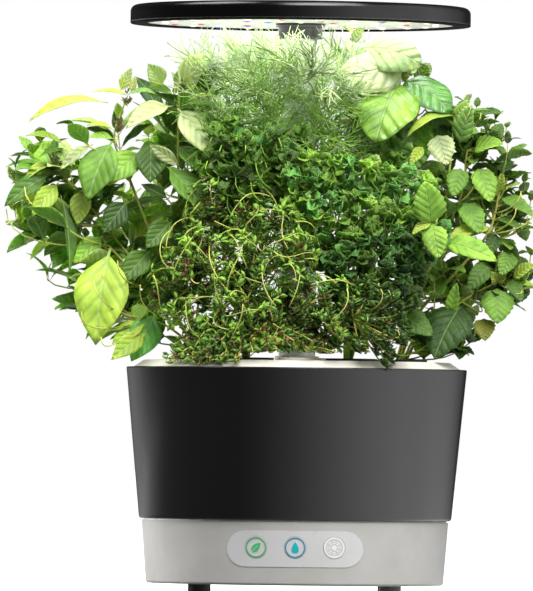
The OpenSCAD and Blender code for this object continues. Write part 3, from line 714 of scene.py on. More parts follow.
class Foliage:
    """Gathers the leaves and stalks of one plant and makes one mesh of them."""

    # How light a leaf is at its foot, and how much lighter toward its tip and its edges.
    FOOT_LIGHT, TIP_LIGHT, EDGE_LIGHT = 0.86, 0.2, 0.06
    # How much of its own colour the underside keeps, and how light the rest is.
    UNDER_OWN, UNDER_LIGHT = 0.6, 2.2

    def __init__(self) -> None:
        """Starts with nothing."""
        self.parts: list[tuple[Array, ...]] = []
        self.count = 0

    def add(self, points: Array, loops: Array, sizes: Array, tints: Array, spots: Array, part: Part) -> None:
        """Adds faces.

        Args:
            points: The points, n by 3.
            loops: The point numbers of the faces, one after another.
            sizes: How many points each face has.
            tints: The colour at each point, n by 3.
            spots: The place on the leaf at each point, n by 2.
            part: What the faces belong to.
        """
        slots = np.full(len(sizes), part.value, np.int32)
        self.parts.append((points, loops + self.count, sizes, tints, spots, slots))
        self.count += len(points)

    def add_leaves(self, template: Template, leaves: Sequence[Leaf]) -> None:
        """Adds leaves that are bent from a template.

        Args:
            template: The flat shape.
            leaves: The leaves, one or more.
        """
        points = bend_leaves(template, leaves)
        many, each = points.shape[:2]
        across, along = template.points[:, 0], template.points[:, 1]
        colour = np.array([leaf.colour for leaf in leaves])[:, None, :]
        light = self.FOOT_LIGHT + self.TIP_LIGHT * along + self.EDGE_LIGHT * np.abs(across)
        pale = (1 - self.UNDER_OWN) * PALE.rgb * colour.mean(2, keepdims=True) * self.UNDER_LIGHT
        under = self.UNDER_OWN * colour + pale
        tints = np.where(template.below[None, :, None], under, colour * light[None, :, None])
        width = np.array([leaf.width for leaf in leaves])[:, None]
        length = np.linalg.norm([leaf.tip - leaf.base for leaf in leaves], axis=1)[:, None]
        spots = np.stack([0.5 + across[None] * width / length / 2, np.broadcast_to(along, (many, each))], 2)
        loops = (template.loops[None] + each * np.arange(many)[:, None]).ravel()
        self.add(points.reshape(-1, 3), loops, np.tile(template.sizes, many), tints.reshape(-1, 3),
                 spots.reshape(-1, 2), Part.LEAF)

    def add_stalk(self, line: Array, thick: float, thin: float, colour: Array, sides: int = 6) -> None:
        """Adds a round stalk along a line.

        Args:
            line: The points that it follows, n by 3.
            thick: Its radius at the first point, in millimetres.
            thin: Its radius at the last point, in millimetres.
            colour: Its colour.
            sides: How many sides it has.
        """
        run = np.gradient(line, axis=0)
        run /= np.linalg.norm(run, axis=1, keepdims=True) + 1e-12
        guide = np.array([1.0, 0.0, 0.0]) if abs(run[0] @ UP) > 0.7 else UP
        one = np.cross(run, guide)
        one /= np.linalg.norm(one, axis=1, keepdims=True) + 1e-12
        two = np.cross(run, one)
        turn = 2 * math.pi * np.arange(sides) / sides
        radius = np.linspace(thick * MM, thin * MM, len(line))[:, None, None]
        ring = np.cos(turn)[None, :, None] * one[:, None] + np.sin(turn)[None, :, None] * two[:, None]
        points = (line[:, None] + radius * ring).reshape(-1, 3)
        first, rank = np.arange(len(line) - 1)[:, None] * sides, np.arange(sides)
        here, there = first + rank[None], first + (rank[None] + 1) % sides
        quads = np.stack([here, here + sides, there + sides, there], 2).ravel()
        loops = np.concatenate([quads, rank, (len(line) - 1) * sides + rank[::-1]])
        sizes = np.concatenate([np.full((len(line) - 1) * sides, 4), [sides, sides]])
        self.add(points, loops, sizes, np.tile(colour, (len(points), 1)), np.zeros((len(points), 2)),
                 Part.STALK)

    def make(self, name: str, leaf: Material, stalk: Material) -> Piece:
        """Makes the plant's mesh.

        Args:
            name: The piece's name.
            leaf: The leaves' material.
            stalk: The stalks' material.

        Returns:
            The piece.
        """
        points, loops, sizes, tints, spots, slots = (np.concatenate(part) for part in zip(*self.parts))
        mesh = bpy.data.meshes.new(name)
        mesh.vertices.add(len(points))
        mesh.vertices.foreach_set("co", points.ravel())
        mesh.loops.add(len(loops))
        mesh.loops.foreach_set("vertex_index", loops.astype(np.int32))
        mesh.polygons.add(len(sizes))
        mesh.polygons.foreach_set("loop_start", np.concatenate([[0], np.cumsum(sizes)[:-1]]).astype(np.int32))
        mesh.polygons.foreach_set("material_index", slots)
        mesh.polygons.foreach_set("use_smooth", np.ones(len(sizes), bool))
        tint = mesh.attributes.new(TINT, "FLOAT_COLOR", "POINT")
        tint.data.foreach_set("color", np.column_stack([np.clip(tints, 0, 1), np.ones(len(tints))]).ravel())
        mesh.uv_layers.new(name=LEAF_UV).data.foreach_set("uv", spots[loops].ravel())
        mesh.update(calc_edges=True)
        mesh.validate()
        piece = link(name, mesh)
        dress(piece, leaf, stalk)
        return piece


class Room:
    """The space that leaves may fill: inside the model's box, off the deck, the post and the lamp."""

    AIR = 0.0008
    RIM_AIR = 0.001
    HOOD_AIR = 0.002
    DECK_DROP = 0.004
    DECK_INSET = 0.0115
    DECK_SLOPE = 1.2
    COVER_REACH = 0.05

    def __init__(self) -> None:
        """Measures the space from the frame."""
        self.low, self.high = (np.array(corner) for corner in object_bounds())
        self.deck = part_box("grow_deck")[1].z - self.DECK_DROP
        self.bowl, self.bush, self.tube = (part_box(name)[1] for name in ("bowl", "post_bush", "post_tube"))
        self.hood, self.hub, self.cover = (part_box(name) for name in ("hood_shell", "lamp_hub", "fill_cover"))

    def holds(self, points: Array) -> bool:
        """Whether all points are in the space.

        Args:
            points: n by 3.

        Returns:
            True if they are.
        """
        x, y, z = points.T
        away = np.hypot(x, y)
        pivot = (self.cover[0] + self.cover[1]) / 2
        slope = self.bowl.x - self.DECK_INSET + self.DECK_SLOPE * (self.deck - z)
        over_cover = np.hypot(x - pivot.x, y - pivot.y) < self.COVER_REACH
        bad = (
            points < self.low + self.AIR,
            points > self.high - self.AIR,
            (away < self.bowl.x + self.RIM_AIR) & (z < self.bowl.z + self.AIR),
            (away < slope) & (z < self.deck + self.AIR),
            (away < self.hood[1].x + self.HOOD_AIR) & (z > self.hood[0].z - self.AIR),
            (away < self.bush.x + self.AIR) & (z < self.bush.z + self.AIR),
            away < self.tube.x + self.AIR,
            (away < self.hub[1].x + self.AIR) & (z > self.hub[0].z - self.AIR),
            over_cover & (z < self.cover[1].z + self.RIM_AIR))
        return not any(test.any() for test in bad)


# ---------------------------------------------------------------- herbs


@dataclass(frozen=True)
class Stem:
    """A main stem through given points in millimetres, with its radius at foot and top."""

    points: Sequence[Point]
    thick: float = 1.6
    thin: float = 0.7
    tone: Tone = STEM


@dataclass(frozen=True)
class Big:
    """A given leaf, in millimetres: its foot, tip and width, its tone and how it bends."""

    base: Point
    tip: Point
    width: float
    # The tone is partly the leaf's own colour and partly painted light and shade where the leaf hangs: pale
    # tones stand for lit and backlit leaves, dark ones for shaded leaves.
    tone: Tone
    curl: float
    fold: float
    face: Point
    cup: float = 0.0
    twist: float = 0.0

    @classmethod
    def rows(cls, *rows: tuple) -> tuple["Big", ...]:
        """Makes a leaf of each row, which holds the fields in their order."""
        return tuple(cls(*row) for row in rows)


def smooth_line(points: Sequence[Sequence[float]], each: int = 6) -> Array:
    """Rounds a line through points.

    Args:
        points: The points.
        each: How many steps lie between two of them.

    Returns:
        A Catmull-Rom line, n by 3.
    """
    knots = np.array(points, float)
    knots = np.concatenate([[2 * knots[0] - knots[1]], knots, [2 * knots[-1] - knots[-2]]])
    line = []
    for a, b, c, d in zip(knots, knots[1:], knots[2:], knots[3:]):
        for step in np.arange(each) / each:
            line.append(0.5 * (2 * b + (c - a) * step + (2 * a - 5 * b + 4 * c - d) * step ** 2
                               + (3 * b - a - 3 * c + d) * step ** 3))
    return np.array(line + [knots[-2]])


def bowed(start: Array, bow: Array, tip: Array) -> Array:
    """A line of eight points from start to tip, drawn toward bow."""
    steps = np.linspace(0, 1, 8)[:, None]
    return (1 - steps) ** 2 * start + 2 * steps * (1 - steps) * bow + steps ** 2 * tip


def unit(vector: Array) -> Array:
    """The vector at a length of 1."""
    return vector / (np.linalg.norm(vector) + 1e-12)


@dataclass
class Herb:
    """A plant in its pod: main stems, leaves set one by one, and shoots that fill its foliage.

    shoots is how many there are, inner how many more end deep inside and carry the darker leaves of
    shaded_tones, painted shade deep in the foliage, nodes how many pairs of leaves a shoot carries, and
    length and wide give a leaf's size in millimetres and its width as a share of that. shade is how much
    darker the leaves get below the height shade_top, as painted shade low in the plant,
    bleach how pale they get under the lamp, as painted lamp light, gain how bright they are,
    and ceiling how high a shoot may end: at the post, and the change to the right. glow gives where the
    painted lamp light starts, over what height it grows and how far from the post it ends, in metres.
    swell is how much wider a leaf is than it is set, broad the least width that no other leaf may hide,
    and stalk_thick a side stem's radius at foot and top.
    """

    node: str
    pod: int
    shape: LeafShape
    finish: LeafFinish
    stems: Sequence[Stem]
    shoots: int
    inner: int
    nodes: int
    length: Pair
    wide: float
    inset: float
    tones: Sequence[Tone]
    curl: Pair
    seed: int
    big: Sequence[Big] = ()
    spacing: float = 11.0
    buds: Sequence[Point] = ()
    bud_leaves: int = 14
    # Darker tones of the inner shoots: painted shade deep in the foliage.
    shaded_tones: Sequence[Tone] = (DARK, MID, DEEP)
    deep: float = 16.0
    shade: float = 0.0
    shade_top: float = 320.0
    # How pale the leaves get near the lamp: painted lamp light.
    bleach: float = 0.5
    gain: float = 1.0
    # Where the painted lamp light starts, over what height it grows and how far from the post it ends.
    glow: Point = (0.36, 0.062, 0.15)
    ceiling: Pair = (1000.0, 0.0)
    stalk_tone: Tone = STEM
    lean: Pair = (48.0, 78.0)
    room: Room = field(default_factory=Room)
    swell: float = 1.06
    broad: float = 8.0
    stalk_thick: Pair = (0.7, 0.45)

    # How many candidates are drawn for each place, and how far above the pod the first may lie.
    POOL, CLEAR_FOOT = 12, 0.012
    # What a twig that starts above its tip costs, how far above is free, and how far it bows.
    DROP_COST, DROP_FREE, TWIG_BOW = 1.2, 0.02, 0.45
    # How far before and round a broad leaf, and over what share of its width, none may hang.
    GUARD_DEPTH, GUARD_ROUND, GUARD_SHARE = 0.008, 0.003, 0.46
    # The first bud's length, how much shorter the next is, and the step between them.
    BUD, BUD_LESS, BUD_STEP = 7.5, 0.3, 0.9
    # The sizes that a leaf is tried at where there is little room.
    TRIES = (1.0, 0.78, 0.6)

    def __post_init__(self) -> None:
        """Finds the pod and cuts the leaf."""
        low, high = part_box(f"sponge_{self.pod}")
        self.foot = np.array([(low.x + high.x) / 2, (low.y + high.y) / 2, high.z - 1 * MM])
        self.chance = np.random.default_rng(self.seed)
        self.draw = self.chance.uniform
        self.template = self.cut()
        self.foliage = Foliage()
        self.leaves: list[Leaf] = []
        self.lines: list[Array] = []

    def cut(self) -> Template:
        """Models the leaf that this plant repeats."""
        return cut_leaf(self.shape)

    def stray(self, scale: float = 1.0) -> Array:
        """A random vector."""
        return self.chance.normal(scale=scale, size=3)

    def any_tone(self) -> Tone:
        """One of the plant's tones."""
        return self.tones[int(self.chance.integers(len(self.tones)))]

    def colour(self, tone: Tone, point: Array) -> Array:
        """A tone at a place, paler near the lamp as painted lamp light, darker low in the plant as painted
        shade, and varied a little.

        Args:
            tone: The tone.
            point: The place, in metres.

        Returns:
            The linear colour.
        """
        start, span, reach = self.glow
        # Leaves near the lamp are mixed toward the palest tone: painted lamp light.
        near = min(1.0, max(0.0, (point[2] - start) / span)) * (math.hypot(point[0], point[1]) < reach)
        share = self.bleach * near * near * (3 - 2 * near)
        # Leaves below shade_top are darkened: painted shade low in the plant.
        low = min(1.0, max(0.0, (self.shade_top - point[2] / MM) / 70))
        varied_and_shaded = tone.rgb * self.gain * self.draw(0.86, 1.14) * (1 - self.shade * low)
        return (1 - share) * varied_and_shaded + share * BLEACHED.rgb

    def grow_stems(self) -> None:
        """Makes the main stems, each from the pod's sponge."""
        for stem in self.stems:
            start = self.foot + np.array([*self.draw(-3, 3, 2) * MM, 0.0])
            line = smooth_line([start, *(np.array(point) * MM for point in stem.points)])
            self.foliage.add_stalk(line, stem.thick, stem.thin, stem.tone.rgb)
            self.lines.append(line)

    def set_big(self) -> None:
        """Adds the leaves that are set one by one."""
        for leaf in self.big:
            base, tip = np.array(leaf.base) * MM, np.array(leaf.tip) * MM
            self.leaves.append(Leaf(base, tip, np.array(leaf.face), leaf.width * MM * self.swell,
                                    self.colour(leaf.tone, tip), leaf.curl, leaf.fold, leaf.cup, 0.08,
                                    self.draw(1.2, 2.4), leaf.twist, self.draw(0, 6)))

    def set_buds(self) -> None:
        """Adds a tight, pointed cluster of dark flower buds at each of the plant's bud places."""
        for place in self.buds:
            for number in range(self.bud_leaves):
                start = np.array(place) * MM + UP * self.BUD_STEP * number * MM
                aim = unit(0.7 * UP + self.stray(0.6))
                size = (self.BUD - self.BUD_LESS * number) * MM
                tone = PLUM if number % 3 else DARK
                self.leaves.append(Leaf(start, start + aim * size, unit(self.stray()), size * 0.55,
                                        tone.rgb, 0.8, 0.6))

    def spots(self, count: int, inset: float) -> tuple[Array, Array]:
        """Spreads places evenly under the skin of the plant's solid.

        Args:
            count: How many.
            inset: How deep they lie, in millimetres.

        Returns:
            The places and the outward directions there.
        """
        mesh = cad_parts[self.node].data
        mesh.calc_loop_triangles()
        corners = np.array([[mesh.vertices[i].co[:] for i in face.vertices] for face in mesh.loop_triangles])
        normals = np.cross(corners[:, 1] - corners[:, 0], corners[:, 2] - corners[:, 0])
        area = np.linalg.norm(normals, axis=1)
        height = corners[:, :, 2]
        top = self.ceiling[0] * MM + self.ceiling[1] * corners[:, 0, 0]
        area = np.where((height.min(1) > self.foot[2] + self.CLEAR_FOOT) & (height.max(1) < top), area, 0)
        pool_size = count * self.POOL
        chosen = self.chance.choice(len(area), pool_size, p=area / area.sum())
        u, v = self.chance.random((2, pool_size, 1))
        u, v = np.where(u + v > 1, 1 - u, u), np.where(u + v > 1, 1 - v, v)
        a, b, c = (corners[chosen, k] for k in range(3))
        out = normals[chosen] / (area[chosen, None] + 1e-12)
        pool = a + u * (b - a) + v * (c - a) - out * inset * MM
        taken = [0]
        gap = np.linalg.norm(pool - pool[0], axis=1)
        while len(taken) < count:
            taken.append(int(gap.argmax()))
            gap = np.minimum(gap, np.linalg.norm(pool - pool[taken[-1]], axis=1))
        return pool[taken], out[taken]

    def twig(self, tip: Array, out: Array) -> Array:
        """A side stem from the nearest main stem to a shoot's tip.

        Args:
            tip: Where it ends.
            out: The outward direction there.

        Returns:
            The line that it follows, n by 3.
        """
        knots = np.concatenate(self.lines)
        drop = np.maximum(0, knots[:, 2] - tip[2] + self.DROP_FREE)
        cost = np.linalg.norm(knots - tip, axis=1) + self.DROP_COST * drop
        start = knots[cost.argmin()]
        rise = unit(0.5 * out + 0.8 * UP)
        return bowed(start, tip - rise * np.linalg.norm(tip - start) * self.TWIG_BOW, tip)

    def hides(self, leaf: Leaf) -> bool:
        """Whether a leaf would hang in front of a broad one that is set one by one.

        Args:
            leaf: The leaf.

        Returns:
            True if it would.
        """
        middle = (leaf.base + leaf.tip) / 2
        for big in self.big:
            base, tip = np.array(big.base) * MM, np.array(big.tip) * MM
            away = (middle - (base + tip) / 2)[[0, 2]]
            length = math.hypot(tip[0] - base[0], tip[2] - base[2])
            along = (tip - base)[[0, 2]] / length
            across = abs(away[0] * along[1] - away[1] * along[0])
            if (big.width >= self.broad and middle[1] < (base[1] + tip[1]) / 2 + self.GUARD_DEPTH
                    and abs(away @ along) < length / 2 + self.GUARD_ROUND
                    and across < big.width * MM * self.GUARD_SHARE + self.GUARD_ROUND):
                return True
        return False

    def put(self, spot: Array, aim: Array, size: float, face: Array, width: float, colour: Array,
            *bend: float) -> None:
        """Adds a leaf, smaller if there is no room for it, or not at all.

        Args:
            spot: Where it starts.
            aim: The way it points.
            size: Its length, in millimetres.
            face: The way its upper side faces.
            width: Its width, in millimetres.
            colour: Its colour.
            *bend: How it bends: curl, fold, cup, wave, ripples, twist and phase.
        """
        leaf = Leaf(spot, spot + aim * size * MM, face, width * MM, colour, *bend)
        if self.hides(leaf):
            return
        for share in self.TRIES:
            small = leaf.shrunk(share)
            if self.room.holds(bend_leaves(self.template, [small])[0]):
                self.leaves.append(small)
                return

    def grow_shoot(self, line: Array, out: Array) -> None:
        """Sets pairs of leaves along a shoot, crosswise, with a tuft at its tip.

        Args:
            line: The shoot's line.
            out: The outward direction at its tip.
        """
        heading = unit(line[-1] - line[-3])
        side = unit(np.cross(heading, self.stray()))
        span = np.concatenate([[0], np.cumsum(np.linalg.norm(np.diff(line, axis=0), axis=1))])
        for pair in range(self.nodes + 1):
            back = span[-1] - pair * self.spacing * MM
            if back < 0.2 * span[-1] and pair:
                break
            spot = np.array([np.interp(back, span, line[:, axis]) for axis in range(3)])
            size = self.draw(*self.length) * (0.42 if pair == 0 else 0.72 + 0.28 * min(1, pair / 2))
            lean = math.radians(self.draw(*self.lean)) * (0.55 if pair == 0 else 1)
            tone = self.any_tone()
            for way in (-1, 1):
                aim = unit(math.cos(lean) * heading + way * math.sin(lean) * side
                           + self.stray(0.14) + np.array([0, 0, -0.1]))
                self.put(spot, aim, size, unit(0.8 * heading + 0.7 * UP + 0.3 * out),
                         size * self.wide * self.draw(0.85, 1.15), self.colour(tone, spot),
                         self.draw(*self.curl), self.draw(0.1, 0.4), 0.0, self.draw(0.04, 0.16), 2.0,
                         self.draw(-0.4, 0.4), self.draw(0, 6))
            side = unit(np.cross(heading, side))

    def sprout(self, line: Array, tip: Array, out: Array) -> None:
        """Adds a side stem and its leaves, if there is room for the stem.

        Args:
            line: The stem's line.
            tip: Where it ends.
            out: The outward direction there.
        """
        if self.room.holds(line):
            self.foliage.add_stalk(line, *self.stalk_thick, self.colour(self.stalk_tone, tip), 5)
            self.grow_shoot(line, out)

    def grow_shoots(self) -> None:
        """Makes the side stems and their leaves."""
        bright = self.tones
        # The inner shoots take the darker tones: painted shade deep in the foliage.
        for count, inset, tones in ((self.shoots, self.inset, bright),
                                    (self.inner, self.inset + self.deep, self.shaded_tones)):
            self.tones = tones
            for tip, out in zip(*self.spots(count, inset)):
                self.sprout(self.twig(tip, out), tip, out)
        self.tones = bright

    def build(self, stalk: Material) -> None:
        """Grows the plant, which stands for its solid.

        Args:
            stalk: The stalks' material.
        """
        self.grow_stems()
        self.set_big()
        self.set_buds()
        self.grow_shoots()
        self.foliage.add_leaves(self.template, self.leaves)
        piece = self.foliage.make(f"{self.node}_plant", self.finish.build(), stalk)
        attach(piece, "garden")
        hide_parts(self.node)
        faces = sum(len(face.vertices) - 2 for face in piece.data.polygons)
        LOG.info("%s: %d leaves, %d triangles", self.node, len(self.leaves), faces)


@dataclass
class Frilled(Herb):
    """A herb whose stalks end in heads of crisp, frilled leaflets, as curly parsley has."""

    def grow_shoot(self, line: Array, out: Array) -> None:
        """Sets a head of frilled leaflets round the shoot's tip.

        Args:
            line: The shoot's line.
            out: The outward direction at its tip.
        """
        tone = self.any_tone()
        for _ in range(self.nodes):
            away = unit(out + 0.5 * UP + self.stray(0.75))
            start = line[-1] + away * self.draw(0, 5) * MM
            size = self.draw(*self.length)
            self.put(start, away, size, unit(UP + self.stray(0.6)), size * self.wide,
                     self.colour(tone, start), self.draw(*self.curl), self.draw(-0.2, 0.5),
                     self.draw(-0.3, 0.5), self.draw(0.5, 0.9), self.draw(2.0, 3.2), 0.0, self.draw(0, 6))


@dataclass
class Wiry(Herb):
    """A herb with thin wiry stems that carry small leaves in pairs, as thyme has.

    arches is how many long bare stems arch over it, with arch_half for half their length, arch_bow for
    their rise and arch_wave for their swerve. mat is how many shoots lie on the deck round its foot, up
    to mat_reach from the post and between the turns of mat_turn. mat_rim and mat_deck give how far off
    and between which heights the shoots over the rim and on the deck end. Sizes are in millimetres and
    turns in degrees.
    """

    arches: int = 120
    mat: int = 0
    mat_turn: Pair = (-140, -72)
    mat_reach: float = 130.5
    mat_rim: Point = (126, -4, 4)
    mat_deck: Point = (96, -1, 16)
    arch_half: Pair = (9, 22)
    arch_bow: Pair = (5, 12)
    arch_wave: float = 4

    def grow_shoot(self, line: Array, out: Array) -> None:
        """Sets small leaves in pairs along most of the stem.

        Args:
            line: The shoot's line.
            out: The outward direction at its tip. Not used here.
        """
        dense = smooth_line(line, 3)
        spots = dense[np.linspace(len(dense) * 0.3, len(dense) - 1, self.nodes).astype(int)]
        side = unit(np.cross(unit(line[-1] - line[0]), self.stray()))
        for number, spot in enumerate(spots):
            heading = unit(dense[-1] - dense[-4]) if number > self.nodes - 3 else unit(line[-1] - line[-4])
            tone = self.any_tone()
            for way in (-1, 1):
                aim = unit(0.6 * heading + way * side + self.stray(0.25))
                size = self.draw(*self.length) * (0.7 if number == self.nodes - 1 else 1)
                self.put(spot, aim, size, unit(heading + 0.8 * UP + self.stray(0.3)), size * self.wide,
                         self.colour(tone, spot), self.draw(*self.curl), self.draw(-0.5, -0.1))
            side = unit(np.cross(heading, side))

    def grow_shoots(self) -> None:
        """Makes the side stems, the mat on the deck, then long bare stems that arch over the foliage."""
        super().grow_shoots()
        for number in range(self.mat):
            turn = math.radians(self.draw(*self.mat_turn))
            out = np.array([math.cos(turn), math.sin(turn), -0.3])
            away, low, high = self.mat_rim if number % 3 == 0 else self.mat_deck
            tip = out * self.draw(away, self.mat_reach) * MM
            tip[2] = self.room.deck + self.draw(low, high) * MM
            stem = self.lines[int(self.chance.integers(len(self.lines)))]
            start = stem[int(self.chance.integers(2, 8))]
            self.sprout(bowed(start, (start + tip) / 2 + self.draw(4, 18) * UP * MM, tip), tip, out)
        for tip, out in zip(*self.spots(self.arches, 1.0)):
            run = unit(np.cross(out, self.stray()) + 0.35 * UP)
            half = self.draw(*self.arch_half) * MM
            steps = np.linspace(-1, 1, 10)[:, None]
            bow = self.draw(*self.arch_bow) * MM
            wave = self.draw(-self.arch_wave, self.arch_wave) * MM * np.sin(2.5 * steps)
            wave = wave * unit(np.cross(out, run))
            line = tip + steps * half * run + (0.6 - steps ** 2) * bow * out + wave
            if self.room.holds(line):
                self.foliage.add_stalk(line, 0.52, 0.34, self.colour(self.stalk_tone, tip), 5)
                self.grow_tuft(line, out)

    def grow_tuft(self, line: Array, out: Array) -> None:
        """Sets a few bright leaves along the last third of an arching stem.

        Args:
            line: The stem's line.
            out: The outward direction there.
        """
        for spot in line[[6, 8, 9, 9]]:
            for way in (-1, 1):
                aim = unit(line[-1] - line[-3] + 0.01 * way * unit(np.cross(out, line[-1] - line[0]))
                           + self.stray(0.006))
                size = self.draw(*self.length) * 0.95
                self.put(spot, aim, size, unit(out + 0.5 * UP), size * self.wide, self.colour(FRESH, spot),
                         0.5, -0.2)


@dataclass
class Feathery(Herb):
    """A herb whose leaves are sprays of fine threads, as dill has.

    pairs is how many pairs of threads a spray has, thread how thick they are in lengths, and veil how
    many sprays hang before the post: veil_high and veil_deep give their heights and depths, and they
    reach from veil_left to the first place of veil_right, or the second above veil_step. green_top is
    the height in metres below which the plant turns green, over the height green_run.
    """

    pairs: int = 5
    thread: float = 0.021
    veil: int = 0
    veil_high: Pair = (332, 404)
    veil_deep: Pair = (-58, -22)
    veil_left: float = -74
    veil_right: Pair = (62, 30)
    veil_step: float = 348
    veil_curl: Pair = (-1.6, 1.6)
    veil_twist: float = 1.4
    green_top: float = 0.388
    green_run: float = 0.045

    def colour(self, tone: Tone, point: Array) -> Array:
        """A tone at a place, which turns green low in the plant.

        Args:
            tone: The tone.
            point: The place, in metres.

        Returns:
            The linear colour.
        """
        share = min(0.75, max(0.0, (self.green_top - point[2]) / self.green_run))
        return (1 - share) * super().colour(tone, point) + share * FRESH.rgb

    def cut(self) -> Template:
        """Models the spray of threads that this plant repeats."""
        return cut_spray(self.pairs, self.thread)

    def put_spray(self, spot: Array, aim: Array, size: float, face: Array, tone: Tone, curl: Pair,
                  twist: float) -> None:
        """Adds a spray that waves and twists at random.

        Args:
            spot: Where it starts.
            aim: The way it points.
            size: Its length, in millimetres.
            face: The way its upper side faces.
            tone: Its tone.
            curl: The range of its curl.
            twist: How far it may twist either way.
        """
        self.put(spot, aim, size, face, size * self.wide, self.colour(tone, spot), self.draw(*curl), 0.0, 0.0,
                 self.draw(0.2, 0.7), self.draw(0.5, 1.5), self.draw(-twist, twist), self.draw(0, 6))

    def grow_shoots(self) -> None:
        """Makes the side stems and their sprays, then the veil, curling every way."""
        super().grow_shoots()
        for _ in range(self.veil):
            z = self.draw(*self.veil_high)
            x = self.draw(self.veil_left, self.veil_right[int(z >= self.veil_step)])
            spot = np.array([x, self.draw(*self.veil_deep), z]) * MM
            turn = self.draw(-0.5, math.pi + 0.5)
            aim = unit(np.array([math.cos(turn), self.draw(-0.3, 0.2), math.sin(turn)]))
            size = self.draw(*self.length) * 0.8
            tone = self.any_tone()
            face = unit(np.array([0, -1, 0]) + self.stray(0.6))
            self.put_spray(spot, aim, size, face, tone, self.veil_curl, self.veil_twist)

    def grow_shoot(self, line: Array, out: Array) -> None:
        """Sets sprays along the end of the stem.

        Args:
            line: The shoot's line.
            out: The outward direction at its tip.
        """
        dense = smooth_line(line, 3)
        heading = unit(line[-1] - line[-3])
        for number in range(self.nodes):
            spot = dense[int((len(dense) - 1) * (0.45 + 0.55 * number / (self.nodes - 1)))]
            aim = unit(heading + 0.3 * out + self.stray(0.6))
            size = self.draw(*self.length)
            tone = self.any_tone()
            self.put_spray(spot, aim, size, unit(self.stray()), tone, self.curl, 1)


# ---------------------------------------------------------------- the six plants

THAI_LEAF = LeafShape("thai_leaf", rows=11, columns=6, stalk=0.13, widest=0.4, blunt=0.95)
GENOVESE_LEAF = LeafShape("genovese_leaf", rows=13, columns=8, stalk=0.08, widest=0.42, blunt=0.62)
MINT_LEAF = LeafShape("mint_leaf", rows=14, columns=4, stalk=0.06, widest=0.36, blunt=0.72, tooth=0.11)
PARSLEY_LEAF = LeafShape("parsley_leaf", rows=4, columns=2, stalk=0.12, widest=0.6, blunt=0.5, tooth=0.3,
                         thick=0.03)
THYME_LEAF = LeafShape("thyme_leaf", rows=3, columns=2, stalk=0.05, widest=0.5, blunt=0.6, thick=0.05,
                       lens=True)
FRONT, SKY, DOME = (0.0, -1.0, 0.35), (0.0, -0.5, 1.0), (0.0, -0.45, 1.0)
LEFT, RIGHT = (0.3, -1, 0.3), (0.2, -1, 0.4)


